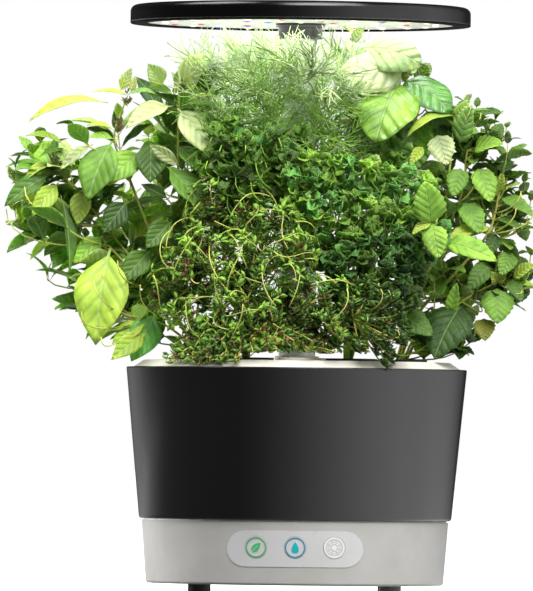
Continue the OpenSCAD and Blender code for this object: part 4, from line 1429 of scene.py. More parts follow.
def thai_basil() -> Herb:
    """The Thai basil on the left, with long glossy leaves and dark flower buds.

    Returns:
        The basil, not yet grown.
    """
    stems = (
        Stem(((-80, -6, 205), (-88, -16, 262), (-92, -24, 320), (-92, -28, 376), (-90, -28, 382))),
        Stem(((-84, -8, 210), (-110, -18, 268), (-130, -26, 318), (-141, -30, 346), (-133, -28, 374))),
        Stem(((-88, -2, 205), (-128, -8, 256), (-164, -12, 300), (-184, -16, 322))),
        Stem(((-82, -10, 190), (-100, -24, 204), (-114, -30, 208)), 1.2, 0.7),
        Stem(((-86, -8, 200), (-116, -20, 234), (-144, -28, 264)), 1.4, 0.8),
        Stem(((-84, 14, 220), (-104, 38, 290), (-112, 46, 352)), 1.5, 0.8),
        Stem(((-74, 2, 240), (-62, 0, 300), (-52, -14, 340)), 1.2, 0.6))
    big = Big.rows(
        ((-146, -32, 373), (-206, -36, 358), 12, BRIGHT, 1.0, 0.5, (0.1, -0.55, 1.0), 0.0, 0.3),
        ((-129, -30, 378), (-158, -34, 381), 7, BRIGHT, 0.5, 0.5, SKY),
        ((-92, -28, 384), (-70, -40, 411), 21, PALE, 0.5, 0.3, (-0.5, -1, 0.2)),
        ((-104, -26, 386), (-116, -34, 403), 15, MID, 0.5, 0.3, (0.1, -1, 0.1)),
        ((-89, -34, 381), (-75, -40, 397), 11, BRIGHT, 0.4, 0.3, (-0.4, -1, 0.2)),
        ((-137, -28, 381), (-128, -34, 400), 9, BRIGHT, 0.4, 0.3, FRONT),
        ((-129, -32, 380), (-125, -34, 394), 6, YELLOW, 0.3, 0.3, FRONT),
        ((-108, -36, 379), (-131, -42, 379), 9, MID, 0.9, 0.4, SKY),
        ((-97, -36, 371), (-132, -50, 353), 18, PALE, 0.9, 0.35, (-0.3, -1, 0.7)),
        ((-93, -40, 369), (-65, -58, 331), 28, PALE, 0.8, 0.25, (0.35, -1, 0.5), -0.12),
        ((-91, -36, 371), (-57, -44, 368), 10, FRESH, 0.8, 0.4, SKY),
        ((-87, -34, 374), (-63, -38, 379), 7, BRIGHT, 0.6, 0.5, SKY),
        ((-141, -34, 352), (-162, -40, 355), 10, BRIGHT, 0.7, 0.4, SKY),
        ((-140, -34, 345), (-161, -42, 346), 9, FRESH, 0.6, 0.4, (0, -0.7, 0.8)),
        ((-142, -38, 344), (-160, -58, 297), 30, MID, 0.8, 0.25, (-0.3, -1, 0.3), -0.1),
        ((-113, -34, 343), (-113, -46, 312), 24, DARK, 0.7, 0.2, (0.1, -1, 0.3)),
        ((-90, -42, 325), (-114, -52, 341), 11, PALE, -0.6, 0.3, (0.3, -0.8, -0.4)),
        ((-94, -40, 341), (-72, -52, 318), 16, DARK, 0.8, 0.35, (0.4, -1, 0.3)),
        ((-101, -40, 325), (-71, -54, 290), 21, MID, 0.7, 0.3, (0.3, -1, 0.35)),
        ((-178, -22, 339), (-209, -26, 347), 11, BRIGHT, 1.0, 0.4, SKY),
        ((-177, -24, 336), (-198, -30, 331), 8, DARK, 0.8, 0.4, SKY),
        ((-157, -34, 341), (-182, -44, 321), 10, PALE, 0.6, 0.6, (-0.2, -0.9, 0.6), 0.0, 0.5),
        ((-187, -20, 327), (-209, -28, 313), 12, BRIGHT, 0.7, 0.4, SKY),
        ((-189, -22, 318), (-224, -32, 293), 17, DARK, 0.8, 0.35, (0.2, -0.9, 0.7)),
        ((-183, -24, 312), (-203, -36, 286), 16, BRIGHT, 0.6, 0.3, RIGHT),
        ((-164, -28, 309), (-168, -38, 279), 16, BRIGHT, 0.5, 0.2, FRONT),
        ((-181, -30, 302), (-174, -40, 242), 14, DARK, 0.5, 0.55, (0.7, -1, 0.1), 0.0, 0.4),
        ((-184, -20, 271), (-204, -26, 253), 11, FRESH, 0.5, 0.3, SKY),
        ((-143, -34, 262), (-153, -52, 188), 40, BRIGHT, 0.8, 0.18, (-0.15, -1, 0.2), -0.1),
        ((-148, -28, 272), (-171, -36, 250), 16, FRESH, 0.6, 0.3, (0.2, -0.9, 0.5)),
        ((-114, -34, 206), (-150, -42, 192), 11, DARK, 0.6, 0.4, SKY),
        ((-114, -36, 207), (-141, -46, 188), 15, BRIGHT, 0.7, 0.3, (0.1, -0.8, 0.7)),
        ((-115, -40, 199), (-141, -56, 177), 16, BRIGHT, 0.7, 0.3, RIGHT),
        ((-108, -30, 214), (-126, -44, 176), 24, GRASS, 0.8, 0.2, (0.2, -1, 0.3)),
        ((-119, -34, 222), (-122, -40, 206), 12, FRESH, 0.3, 0.2, FRONT),
        ((-103, -50, 196), (-85, -62, 184), 8, DARK, 0.8, 0.4, SKY),
        ((-130, -36, 299), (-149, -46, 273), 19, DEEP, 0.6, 0.3, (0.2, -1, 0.3)),
        ((-99, -36, 300), (-120, -42, 311), 10, DEEP, 0.4, 0.3, FRONT),
        ((-50, -30, 344), (-57, -40, 366), 15, FRESH, 0.4, 0.3, FRONT),
        ((-48, -32, 342), (-63, -38, 345), 7, PALE, 0.4, 0.4, SKY),
        ((-48, -32, 344), (-37, -38, 351), 8, FRESH, 0.4, 0.4, SKY),
        ((-120, -30, 336), (-146, -44, 312), 22, FRESH, 0.7, 0.3, (0.2, -1, 0.5)),
        ((-168, -22, 330), (-150, -34, 300), 18, MID, 0.6, 0.3, RIGHT),
        ((-112, -32, 262), (-134, -46, 236), 20, DARK, 0.6, 0.3, RIGHT),
        ((-96, -34, 284), (-116, -48, 262), 19, DARK, 0.6, 0.3, RIGHT))
    return Herb(
        "thai_basil", 4, THAI_LEAF, LeafFinish("thai_basil_leaf", veins=6, slant=1.3, pale=0.3),
        stems, shoots=48, inner=48, nodes=3, length=(28, 50), wide=0.46, inset=17,
        tones=(MID, FRESH, LIGHT, BRIGHT, DARK, LIGHT), curl=(0.5, 1.2), seed=4, big=big, spacing=15,
        gain=1.1, ceiling=(456.0, 0.55),
        buds=((-90, -40, 378), (-138, -38, 349), (-186, -28, 321), (-131, -36, 370)))


def genovese_basil() -> Herb:
    """The Genovese basil at the back right, with broad domed leaves up at the lamp.

    Returns:
        The basil, not yet grown.
    """
    stems = (
        Stem(((44, 64, 235), (58, 44, 305), (70, 20, 362), (76, 4, 391), (79, 4, 412)), 2.0, 0.9),
        Stem(((48, 70, 250), (78, 66, 320), (90, 44, 370))),
        Stem(((42, 60, 240), (50, 38, 310), (52, 14, 368), (50, 4, 388))))
    big = Big.rows(
        ((46, -8, 417), (93, -16, 404), 36, FRESH, 1.3, 0.1, (0.0, -0.9, 0.7), -0.3),
        ((80, 0, 408), (86, -8, 421), 12, MID, 0.6, 0.3, (-0.3, -1, 0.3)),
        ((80, -8, 401), (28, -34, 391), 36, PALE, 1.0, 0.15, (0.0, -1, 0.5), -0.3),
        ((76, -12, 392), (58, -54, 344), 46, FRESH, 1.0, 0.18, (-0.2, -1, 0.35), -0.3),
        ((78, -8, 393), (114, -32, 368), 34, GRASS, 1.1, 0.18, (0.3, -0.9, 0.7), -0.3),
        ((81, 2, 391), (118, 0, 364), 26, FRESH, 1.0, 0.2, (0.4, -0.4, 1), -0.2),
        ((76, -6, 392), (61, -12, 406), 10, BRIGHT, 0.6, 0.35, LEFT),
        ((77, -6, 393), (78, -12, 410), 9, BRIGHT, 0.6, 0.35, (0.0, -1, 0.2)),
        ((78, -6, 392), (86, -12, 405), 8, BRIGHT, 0.6, 0.35, (-0.3, -1, 0.3)),
        ((50, 0, 392), (29, -8, 396), 11, PALE, 0.7, 0.3, DOME),
        ((52, -4, 378), (28, -16, 380), 15, DARK, 0.7, 0.3, DOME),
        ((66, 0, 368), (70, -14, 334), 24, DARK, 0.8, 0.25, (0, -1, 0.3)),
        ((60, 2, 366), (44, -20, 330), 32, DARK, 0.8, 0.2, (-0.2, -1, 0.3)),
        ((84, 6, 366), (88, -16, 324), 32, MID, 0.8, 0.2, (0.1, -1, 0.3)),
        ((96, 12, 372), (112, 4, 340), 26, MID, 0.9, 0.2, (0.3, -1, 0.4), -0.2))
    return Herb(
        "genovese_basil", 2, GENOVESE_LEAF,
        LeafFinish("genovese_leaf", veins=5, slant=1.0, pale=0.42, depth=0.0016, rough=(0.2, 0.3),
                   specular=0.65),
        stems, shoots=24, inner=18, nodes=2, length=(34, 50), wide=0.66, inset=20,
        tones=(FRESH, LIGHT, FRESH, GRASS), curl=(0.9, 1.5), seed=2, big=big, spacing=20,
        bleach=0.36, gain=1.1, ceiling=(460.0, -0.8))


def mint() -> Herb:
    """The mint on the right, with toothed and wrinkled leaves in opposite pairs.

    Returns:
        The mint, not yet grown.
    """
    stems = (
        Stem(((90, -10, 222), (106, -18, 266), (113, -22, 312), (117, -24, 350), (118, -24, 366))),
        Stem(((92, -8, 215), (114, -14, 240), (144, -18, 276), (152, -18, 305), (153, -18, 316))),
        Stem(((98, -10, 205), (130, -14, 228), (152, -18, 240)), 1.3, 0.7),
        Stem(((90, 8, 225), (116, 28, 268), (126, 32, 312)), 1.4, 0.8),
        Stem(((90, -18, 198), (104, -30, 213)), 1.2, 0.8),
        Stem(((94, -14, 236), (98, -44, 262), (101, -82, 282)), 1.2, 0.8, OLIVE),
        Stem(((96, -8, 250), (122, -12, 300), (128, -16, 340)), 1.2, 0.7))
    big = Big.rows(
        ((118, -28, 365), (130, -34, 378), 9, FRESH, 0.4, 0.4, (-0.4, -1, 0.2)),
        ((122, -30, 345), (131, -38, 374), 18, MID, 0.5, 0.35, (-0.3, -1, 0.1)),
        ((133, -26, 340), (155, -34, 345), 18, FRESH, 0.8, 0.3, (0.1, -0.8, 0.8)),
        ((117, -30, 366), (81, -40, 348), 12, BRIGHT, 1.2, 0.4, SKY),
        ((105, -34, 351), (112, -44, 328), 21, PALE, 0.5, 0.2, FRONT),
        ((94, -34, 342), (84, -40, 328), 9, BRIGHT, 0.6, 0.3, FRONT),
        ((97, -34, 323), (76, -40, 315), 9, PALE, -0.5, 0.3, (0.0, -0.8, -0.3)),
        ((100, -82, 283), (95, -90, 315), 26, FRESH, 0.5, 0.2, (0.1, -1, 0.35)),
        ((100, -82, 283), (86, -88, 274), 11, BRIGHT, 0.5, 0.3, SKY),
        ((101, -82, 282), (106, -90, 256), 20, FRESH, 0.6, 0.25, FRONT),
        ((112, -54, 269), (151, -64, 255), 20, FRESH, 0.7, 0.25, (0.1, -1, 0.6)),
        ((146, -26, 281), (112, -40, 271), 14, BRIGHT, 0.8, 0.3, (0, -0.8, 0.8)),
        ((152, -20, 306), (141, -26, 317), 8, BRIGHT, 0.5, 0.4, LEFT),
        ((153, -20, 309), (155, -26, 324), 8, BRIGHT, 0.5, 0.4, FRONT),
        ((154, -20, 307), (169, -26, 315), 7, BRIGHT, 0.6, 0.4, SKY),
        ((151, -20, 301), (130, -28, 302), 8, FRESH, 0.6, 0.4, SKY),
        ((154, -20, 304), (179, -28, 290), 14, MID, 0.8, 0.3, (0.2, -0.8, 0.7)),
        ((151, -22, 288), (170, -30, 279), 11, DARK, 0.6, 0.3, SKY),
        ((151, -22, 276), (145, -32, 260), 13, DEEP, 0.6, 0.3, FRONT),
        ((163, -20, 262), (154, -30, 245), 16, MID, 0.6, 0.25, FRONT),
        ((164, -18, 243), (180, -26, 254), 12, BRIGHT, 0.6, 0.3, (-0.2, -0.9, 0.5)),
        ((160, -18, 242), (171, -28, 225), 13, DARK, 0.6, 0.3, LEFT),
        ((152, -22, 235), (152, -36, 208), 26, MID, 0.6, 0.15, (0.1, -1, 0.3), -0.15),
        ((142, -22, 212), (143, -32, 195), 17, OLIVE, 0.5, 0.2, FRONT),
        ((124, -34, 221), (104, -56, 181), 36, DEEP, 0.8, 0.12, (-0.2, -1, 0.3), -0.12),
        ((74, -44, 216), (103, -56, 198), 22, DARK, 0.7, 0.2, RIGHT, -0.12),
        ((116, -34, 214), (121, -42, 239), 11, FRESH, 0.5, 0.35, FRONT),
        ((115, -34, 214), (122, -44, 200), 9, BRIGHT, 0.5, 0.35, FRONT),
        ((145, -26, 252), (129, -38, 233), 16, DARK, 0.6, 0.3, FRONT),
        ((152, -20, 240), (146, -26, 248), 8, BRIGHT, 0.5, 0.3, FRONT),
        ((152, -20, 240), (159, -26, 247), 8, BRIGHT, 0.5, 0.3, FRONT),
        ((123, -30, 326), (117, -42, 304), 17, MID, 0.6, 0.2, FRONT),
        ((136, -26, 326), (146, -38, 300), 20, FRESH, 0.7, 0.25, RIGHT),
        ((126, -28, 300), (138, -42, 276), 20, MID, 0.7, 0.2, RIGHT))
    return Herb(
        "mint", 1, MINT_LEAF,
        LeafFinish("mint_leaf", veins=6, slant=0.85, pale=0.2, depth=0.0005, rugged=0.0007, wrinkle=0.0026,
                   rough=(0.42, 0.6), furrow_shade=0.92),
        stems, shoots=70, inner=60, nodes=3, length=(17, 30), wide=0.62, inset=12,
        tones=(MID, DARK, FRESH, DARK), curl=(0.4, 1.0), seed=6, big=big, spacing=13)


def dill() -> Herb:
    """The dill behind the middle, a haze of fine threads under the lamp.

    Returns:
        The dill, not yet grown.
    """
    stems = tuple(Stem(points, thick, thin, FRESH) for points, thick, thin in (
        (((-38, 70, 250), (-36, 76, 320), (-40, 66, 384)), 1.6, 0.5),
        (((-34, 74, 260), (-14, 74, 340), (-2, 62, 388)), 1.4, 0.4),
        (((-30, 80, 260), (6, 88, 330), (26, 78, 386)), 1.4, 0.4),
        (((-42, 60, 270), (-44, 34, 340), (-42, 4, 390)), 1.3, 0.4),
        (((-40, 50, 280), (-36, 10, 350), (-30, -26, 394)), 1.2, 0.4),
        (((-38, 40, 300), (-30, -10, 360), (4, -40, 390)), 1.1, 0.4),
        (((-30, 66, 290), (24, 44, 340), (32, -24, 386)), 1.1, 0.4),
        (((-44, 56, 290), (-56, 42, 362)), 1.0, 0.4)))
    return Feathery(
        "dill", 3, THYME_LEAF,
        LeafFinish("dill_leaf", pale=0.0, depth=0.0, rugged=0.0, flesh=0.0, furrow_shade=1.0),
        stems, shoots=46, inner=18, nodes=6, length=(26, 44), wide=1.3, inset=6,
        tones=(THREAD, PALE, THREAD, LIGHT, FRESH), curl=(-1.1, 1.1), seed=3,
        shaded_tones=(FRESH, GRASS), bleach=0.85, gain=1.15, stalk_tone=THREAD, veil=130)


def parsley() -> Herb:
    """The curly parsley at the middle right.

    Returns:
        The parsley, not yet grown.
    """
    stems = tuple(Stem(points, 1.3, 0.7, FRESH) for points in (
        ((44, -66, 240), (50, -48, 322)), ((36, -64, 240), (18, -52, 324)),
        ((50, -66, 230), (78, -52, 300)), ((32, -62, 250), (-12, -50, 322)),
        ((30, -58, 260), (-34, -44, 326)), ((54, -64, 220), (90, -54, 270)),
        ((46, -60, 230), (60, -58, 280)), ((38, -68, 220), (30, -60, 290)),
        ((46, -58, 250), (72, -34, 334))))
    return Frilled(
        "parsley", 6, PARSLEY_LEAF,
        LeafFinish("parsley_leaf", veins=4, slant=0.6, pale=0.12, depth=0.0004, rough=(0.4, 0.56)),
        stems, shoots=140, inner=60, nodes=15, length=(7, 12), wide=1.1, inset=5,
        tones=(FRESH, GRASS, FRESH, GRASS, MID), curl=(-0.6, 1.2), seed=5, shaded_tones=(MID, DARK),
        shade=0.8, shade_top=300.0, ceiling=(336.0, -0.2), gain=1.16, stalk_tone=FRESH)


def thyme() -> Herb:
    """The thyme at the front left, small leaves on wiry stems.

    Returns:
        The thyme, not yet grown.
    """
    stems = tuple(Stem((low, top), 0.9, 0.5, tone) for low, top, tone in (
        ((-44, -72, 210), (-62, -62, 278), OLIVE), ((-46, -70, 200), (-92, -66, 236), STEM),
        ((-38, -74, 220), (-30, -78, 284), STEM), ((-34, -76, 210), (-8, -90, 262), OLIVE),
        ((-30, -80, 196), (18, -108, 226), STEM), ((-40, -80, 200), (-38, -98, 224), OLIVE),
        ((-28, -84, 192), (42, -112, 210), OLIVE), ((-46, -68, 215), (-76, -70, 262), STEM)))
    return Wiry(
        "thyme", 5, THYME_LEAF,
        LeafFinish("thyme_leaf", veins=3, slant=0.5, pale=0.08, depth=0.0, rough=(0.42, 0.6)),
        stems, shoots=118, inner=80, nodes=14, length=(5.5, 9.5), wide=0.46, inset=3,
        tones=(MID, DARK, OLIVE, DARK, FRESH, DARK, MID, GRASS, DARK, PLUM), curl=(0.1, 0.9), seed=7,
        gain=0.92, shaded_tones=(DARK, DEEP, DEEP), mat=170)


# ---------------------------------------------------------------- sponges


@dataclass
class GrowSponges:
    """The foam plugs in the pods, with a crowned and crumbly top."""

    pods: int = 6
    air: float = 0.0003
    crown: float = 0.0012
    crumb: float = 0.003

    def build(self, foam: Material) -> None:
        """Models one plug and copies it to every pod.

        Args:
            foam: The plugs' material.
        """
        low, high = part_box("sponge_1")
        middle = (low + high) / 2
        feet = [v.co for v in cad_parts["sponge_1"].data.vertices if v.co.z < low.z + 0.0005]
        foot = max(math.hypot(p.x - middle.x, p.y - middle.y) for p in feet) - self.air
        top = (high.x - low.x) / 2 - self.air
        deselect_all()
        bpy.ops.mesh.primitive_cone_add(vertices=32, radius1=foot, radius2=top,
                                        depth=high.z - low.z - self.air,
                                        location=(0, 0, middle.z - self.air / 2))
        plug = bpy.context.object
        plug.data.transform(plug.matrix_world)
        plug.matrix_world = Matrix.Identity(4)
        edit(plug)
        pick(plug, lambda point: point.z > middle.z)
        bpy.ops.mesh.inset(thickness=top * 0.18)
        bpy.ops.transform.translate(value=(0, 0, self.crown))
        for share in (0.28, 0.36, 0.5):
            bpy.ops.mesh.inset(thickness=top * share * 0.6)
        bpy.ops.mesh.select_all(action="SELECT")
        bpy.ops.mesh.subdivide(number_cuts=2)
        bpy.ops.mesh.normals_make_consistent(inside=False)
        close_edit()
        crumbs = bpy.data.textures.new("crumbs", "CLOUDS")
        crumbs.noise_scale = self.crumb
        apply_modifier(plug, "DISPLACE", texture=crumbs, strength=-self.air * 2, mid_level=0.0,
                       texture_coords="LOCAL")
        bpy.ops.object.shade_smooth_by_angle(angle=math.radians(40))
        dress(plug, foam)
        for pod in range(1, self.pods + 1):
            node = f"sponge_{pod}"
            corner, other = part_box(node)
            copy = link(f"grow_{node}", plug.data.copy())
            copy.data.transform(Matrix.Translation(((corner.x + other.x) / 2, (corner.y + other.y) / 2, 0)))
            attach(copy, "garden")
            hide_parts(node)
        bpy.data.objects.remove(plug)
        LOG.info("%d grow sponges", self.pods)


# ---------------------------------------------------------------- marks on the keys


class Sign(Enum):
    """What a key shows."""

    LEAF = "key_feed"
    DROP = "key_water"
    SUN = "key_light"


@dataclass
class KeyMarks:
    """A ring and a sign, inlaid on the face of each key. Sizes are in metres."""

    ring: float = 0.00775
    line: float = 0.0011
    proud: float = 0.00022
    sunk: float = 0.0001
    leaf_length: float = 0.0098
    leaf_width: float = 0.0052
    drop_length: float = 0.0086
    drop_width: float = 0.0061
    disc: float = 0.00185
    ray: float = 0.0052
    rays: int = 8
    ray_width: float = 0.0009
    ray_tip: float = 0.00055
    oval_rows: int = 14

    def add_ring(self) -> Piece:
        """Models the ring, flat.

        Returns:
            The ring.
        """
        deselect_all()
        bpy.ops.mesh.primitive_circle_add(vertices=64, radius=self.ring, fill_type="NGON")
        ring = bpy.context.object
        edit(ring)
        bpy.ops.mesh.inset(thickness=self.line)
        bpy.ops.mesh.delete(type="FACE")
        close_edit()
        return ring

    def add_oval(self, length: float, width: float, outline: Callable[[float], float]) -> None:
        """Models a flat shape in the open mesh, with its foot down, centred.

        Args:
            length: Its length.
            width: Its width.
            outline: Gives the half width, 0 to 1, at 0 to 1 along it.
        """
        piece, rows = bpy.context.object, self.oval_rows
        bpy.ops.mesh.primitive_grid_add(x_subdivisions=4, y_subdivisions=rows, size=1)
        bpy.ops.transform.resize(value=(width, length, 1), center_override=(0, 0, 0))
        for row in range(rows + 1):
            height = length * (row / rows - 0.5)
            pick(piece, lambda point: abs(point.y - height) < length * 0.01 and abs(point.x) < width * 0.51)
            bpy.ops.transform.resize(value=(max(0.001, outline(row / rows)), 1, 1),
                                     center_override=(0, height, 0))
        bpy.ops.mesh.select_all(action="SELECT")
        bpy.ops.mesh.remove_doubles(threshold=0.00001)

    def add_leaf(self, piece: Piece) -> None:
        """Models a leaf with a split down its middle in the open mesh.

        Args:
            piece: The open piece.
        """
        self.add_oval(self.leaf_length, self.leaf_width,
                      lambda along: math.sin(math.pi * along ** 0.85) ** 0.85)
        for side in (-1, 1):
            bpy.ops.mesh.select_all(action="SELECT")
            bpy.ops.mesh.bisect(plane_co=(side * self.leaf_width * 0.06, 0, 0), plane_no=(1, 0, 0.0))
        top = self.leaf_length * 0.26
        pick(piece, lambda point: abs(point.x) < self.leaf_width * 0.07 and point.y < top)
        bpy.ops.mesh.delete(type="FACE")

    def add_sun(self) -> None:
        """Models a disc with rays that end in dots in the open mesh."""
        bpy.ops.mesh.primitive_circle_add(vertices=32, radius=self.disc, fill_type="NGON")
        for number in range(self.rays):
            angle = 2 * math.pi * number / self.rays
            way = Vector((math.cos(angle), math.sin(angle), 0))
            bpy.ops.mesh.primitive_grid_add(x_subdivisions=3, y_subdivisions=1, size=self.ray_width,
                                            location=way * (self.disc + self.ray) / 2, rotation=(0, 0, angle))
            bpy.ops.transform.resize(value=(1.5, 1, 1), orient_type="LOCAL")
            bpy.ops.mesh.primitive_circle_add(vertices=12, radius=self.ray_tip, fill_type="NGON",
                                              location=way * self.ray)

    def add_sign(self, sign: Sign) -> Piece:
        """Models a sign, flat.

        Args:
            sign: Which one.

        Returns:
            The sign.
        """
        piece = open_new(f"{sign.name.lower()}_sign")
        if sign is Sign.DROP:
            self.add_oval(self.drop_length, self.drop_width,
                          lambda along: math.sin(math.pi * along ** 0.62) ** 0.62 * (1 - 0.25 * along))
        elif sign is Sign.LEAF:
            self.add_leaf(piece)
        else:
            self.add_sun()
        bpy.ops.mesh.select_all(action="SELECT")
        close_edit()
        return piece

    def inlay(self, piece: Piece, key: str, name: str, material: Material) -> None:
        """Thickens a flat mark and lays it on a key's curved face.

        Args:
            piece: The flat mark, centred.
            key: The key's node.
            name: The piece's name.
            material: Its material.
        """
        low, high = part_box(key)
        middle = (low + high) / 2
        apply_modifier(piece, "SOLIDIFY", thickness=self.proud + self.sunk, offset=1.0)
        upright = Matrix.Rotation(math.pi / 2, 4, "X")
        piece.data.transform(Matrix.Translation((middle.x, 0, middle.z)) @ upright)
        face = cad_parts[key]
        for vertex in piece.data.vertices:
            place = Vector((vertex.co.x, low.y - 0.01, vertex.co.z))
            found, hit, _, _ = face.ray_cast(place, Vector((0, 1, 0)))
            vertex.co.y += (hit.y if found else low.y) + self.sunk
        piece.name = name
        dress(piece, material)
        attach(piece, key)

    def build(self, colours: dict[Sign, Sequence[Material]]) -> None:
        """Makes the marks of all keys.

        Args:
            colours: Each sign's ring and sign materials.
        """
        for sign, (ring_colour, sign_colour) in colours.items():
            self.inlay(self.add_ring(), sign.value, f"{sign.value}_ring", ring_colour)
            mark = self.add_sign(sign)
            if sign is Sign.LEAF:
                mark.data.transform(Matrix.Rotation(-math.pi / 4, 4, "Z"))
            self.inlay(mark, sign.value, f"{sign.value}_{sign.name.lower()}", sign_colour)
        LOG.info("marks on %d keys", len(colours))


# ---------------------------------------------------------------- housings, post and lamp

FINISHES = (
    Surface("base_grey", (199, 198, 194), (190, 189, 184), rough=(0.4, 0.55), specular=0.4),
    Surface("base_floor", (62, 62, 66), (50, 50, 53), rough=(0.5, 0.65)),
    Surface("seal_white", (238, 238, 234), (226, 226, 221), rough=(0.45, 0.6)),
    Surface("screw_steel", (168, 168, 172), (140, 140, 146), metal=1.0, rough=(0.25, 0.4), grain=0.0003),
    Surface("foot_rubber", (84, 84, 86), (64, 64, 66), rough=(0.35, 0.5)),
    Surface("panel_pale", (221, 221, 221), (214, 214, 213), rough=(0.26, 0.36), edge=0.0002),
    Surface("key_pale", (223, 223, 223), (216, 216, 215), rough=(0.26, 0.36), edge=0.0003),
    Surface("switch_black", (44, 44, 46), (34, 34, 36)),
    Surface("board_green", (38, 108, 66), (24, 84, 48), rough=(0.3, 0.5), grain=0.0008, depth=0.00003),
    Surface("wire_black", (34, 34, 36), (24, 24, 26), rough=(0.45, 0.6)),
    Surface("inlet_black", (34, 34, 36), (24, 24, 26), rough=(0.4, 0.55)),
    Surface("bowl_black", (8, 8, 10), (6, 6, 7), patch=0.08, depth=0.000004, rough=(0.15, 0.2), edge=0.0008),
    Surface("pump_dark", (56, 60, 66), (44, 47, 52)),
    Surface("rotor_white", (218, 221, 225), (205, 208, 212)),
    Surface("tube_clear", (218, 226, 228), (204, 214, 217), rough=(0.1, 0.2)),
    Surface("float_orange", (236, 148, 68), (222, 130, 52), depth=0.00005),
    Surface("deck_cream", (237, 234, 222), (226, 222, 208), rough=(0.4, 0.55)),
    Surface("basket_black", (44, 44, 47), (34, 34, 36), rough=(0.4, 0.55)),
    Surface("sponge_brown", (74, 54, 40), (48, 34, 26), patch=0.004, grain=0.0009, depth=0.0006,
            rough=(0.85, 0.98), specular=0.2, edge=0.0002),
    Surface("post_silver", (232, 233, 234), (220, 222, 224), metal=0.4, rough=(0.3, 0.42), grain=0.00025,
            draw=40.0),
    Surface("bush_black", (34, 34, 37), (26, 26, 28)),
    Surface("hub_black", (30, 30, 33), (22, 22, 24), rough=(0.3, 0.42)),
    Surface("hood_black", (8, 8, 10), (6, 6, 7), patch=0.08, depth=0.000004, rough=(0.16, 0.22), edge=0.0012),
    Surface("bezel_black", (8, 8, 10), (6, 6, 7), rough=(0.6, 0.75), specular=0.08, edge=0.0002),
    Surface("light_panel", (230, 227, 231), (192, 187, 193), patch=0.011, rough=(0.4, 0.5), glow=0.5),
    Surface("led_white", (255, 250, 226), (255, 244, 204), rough=(0.2, 0.3), glow=1.0, edge=0.0001),
    Surface("led_red", (216, 116, 112), (206, 96, 96), rough=(0.2, 0.3), glow=0.5, edge=0.0001),
    Surface("led_blue", (124, 136, 232), (108, 122, 222), rough=(0.2, 0.3), glow=0.5, edge=0.0001),
    Surface("spreader_metal", (196, 197, 200), (182, 184, 188), metal=1.0, rough=(0.35, 0.5)))
MARK = Surface("light_mark", (252, 252, 250), (246, 246, 244), rough=(0.3, 0.4), edge=0.0001)
MARKS = {
    Sign.LEAF: (replace(MARK, name="feed_ring", colour=(104, 186, 128), shade=(94, 176, 118)),
                replace(MARK, name="feed_sign", colour=(74, 206, 122), shade=(64, 192, 110))),
    Sign.DROP: (replace(MARK, name="water_ring", colour=(72, 152, 178), shade=(62, 140, 168)),
                replace(MARK, name="water_sign", colour=(20, 198, 206), shade=(14, 184, 194))),
    Sign.SUN: (MARK, MARK)}


@dataclass
class Housings:
    """The carried-over solids: base, bowl, deck, pump, post and lamp.

    special gives the finish of a node whose slot is shared with another finish.
    """

    finishes: Sequence[Surface] = FINISHES
    special: dict[str, str] = field(default_factory=lambda: {"hood_bezel": "bezel_black"})

    def dress(self) -> dict[str, Material]:
        """Gives every solid its finish by the slot that it names.

        Returns:
            The materials by slot.
        """
        made = {finish.name: finish.build() for finish in self.finishes}
        for name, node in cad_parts.items():
            for slot in node.material_slots:
                wanted = self.special.get(name, slot.material.name.split(".")[0] if slot.material else "")
                slot.material = made.get(wanted, slot.material)
        LOG.info("%d finishes on %d solids", len(made), len(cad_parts))
        return made


# ---------------------------------------------------------------- studio and camera


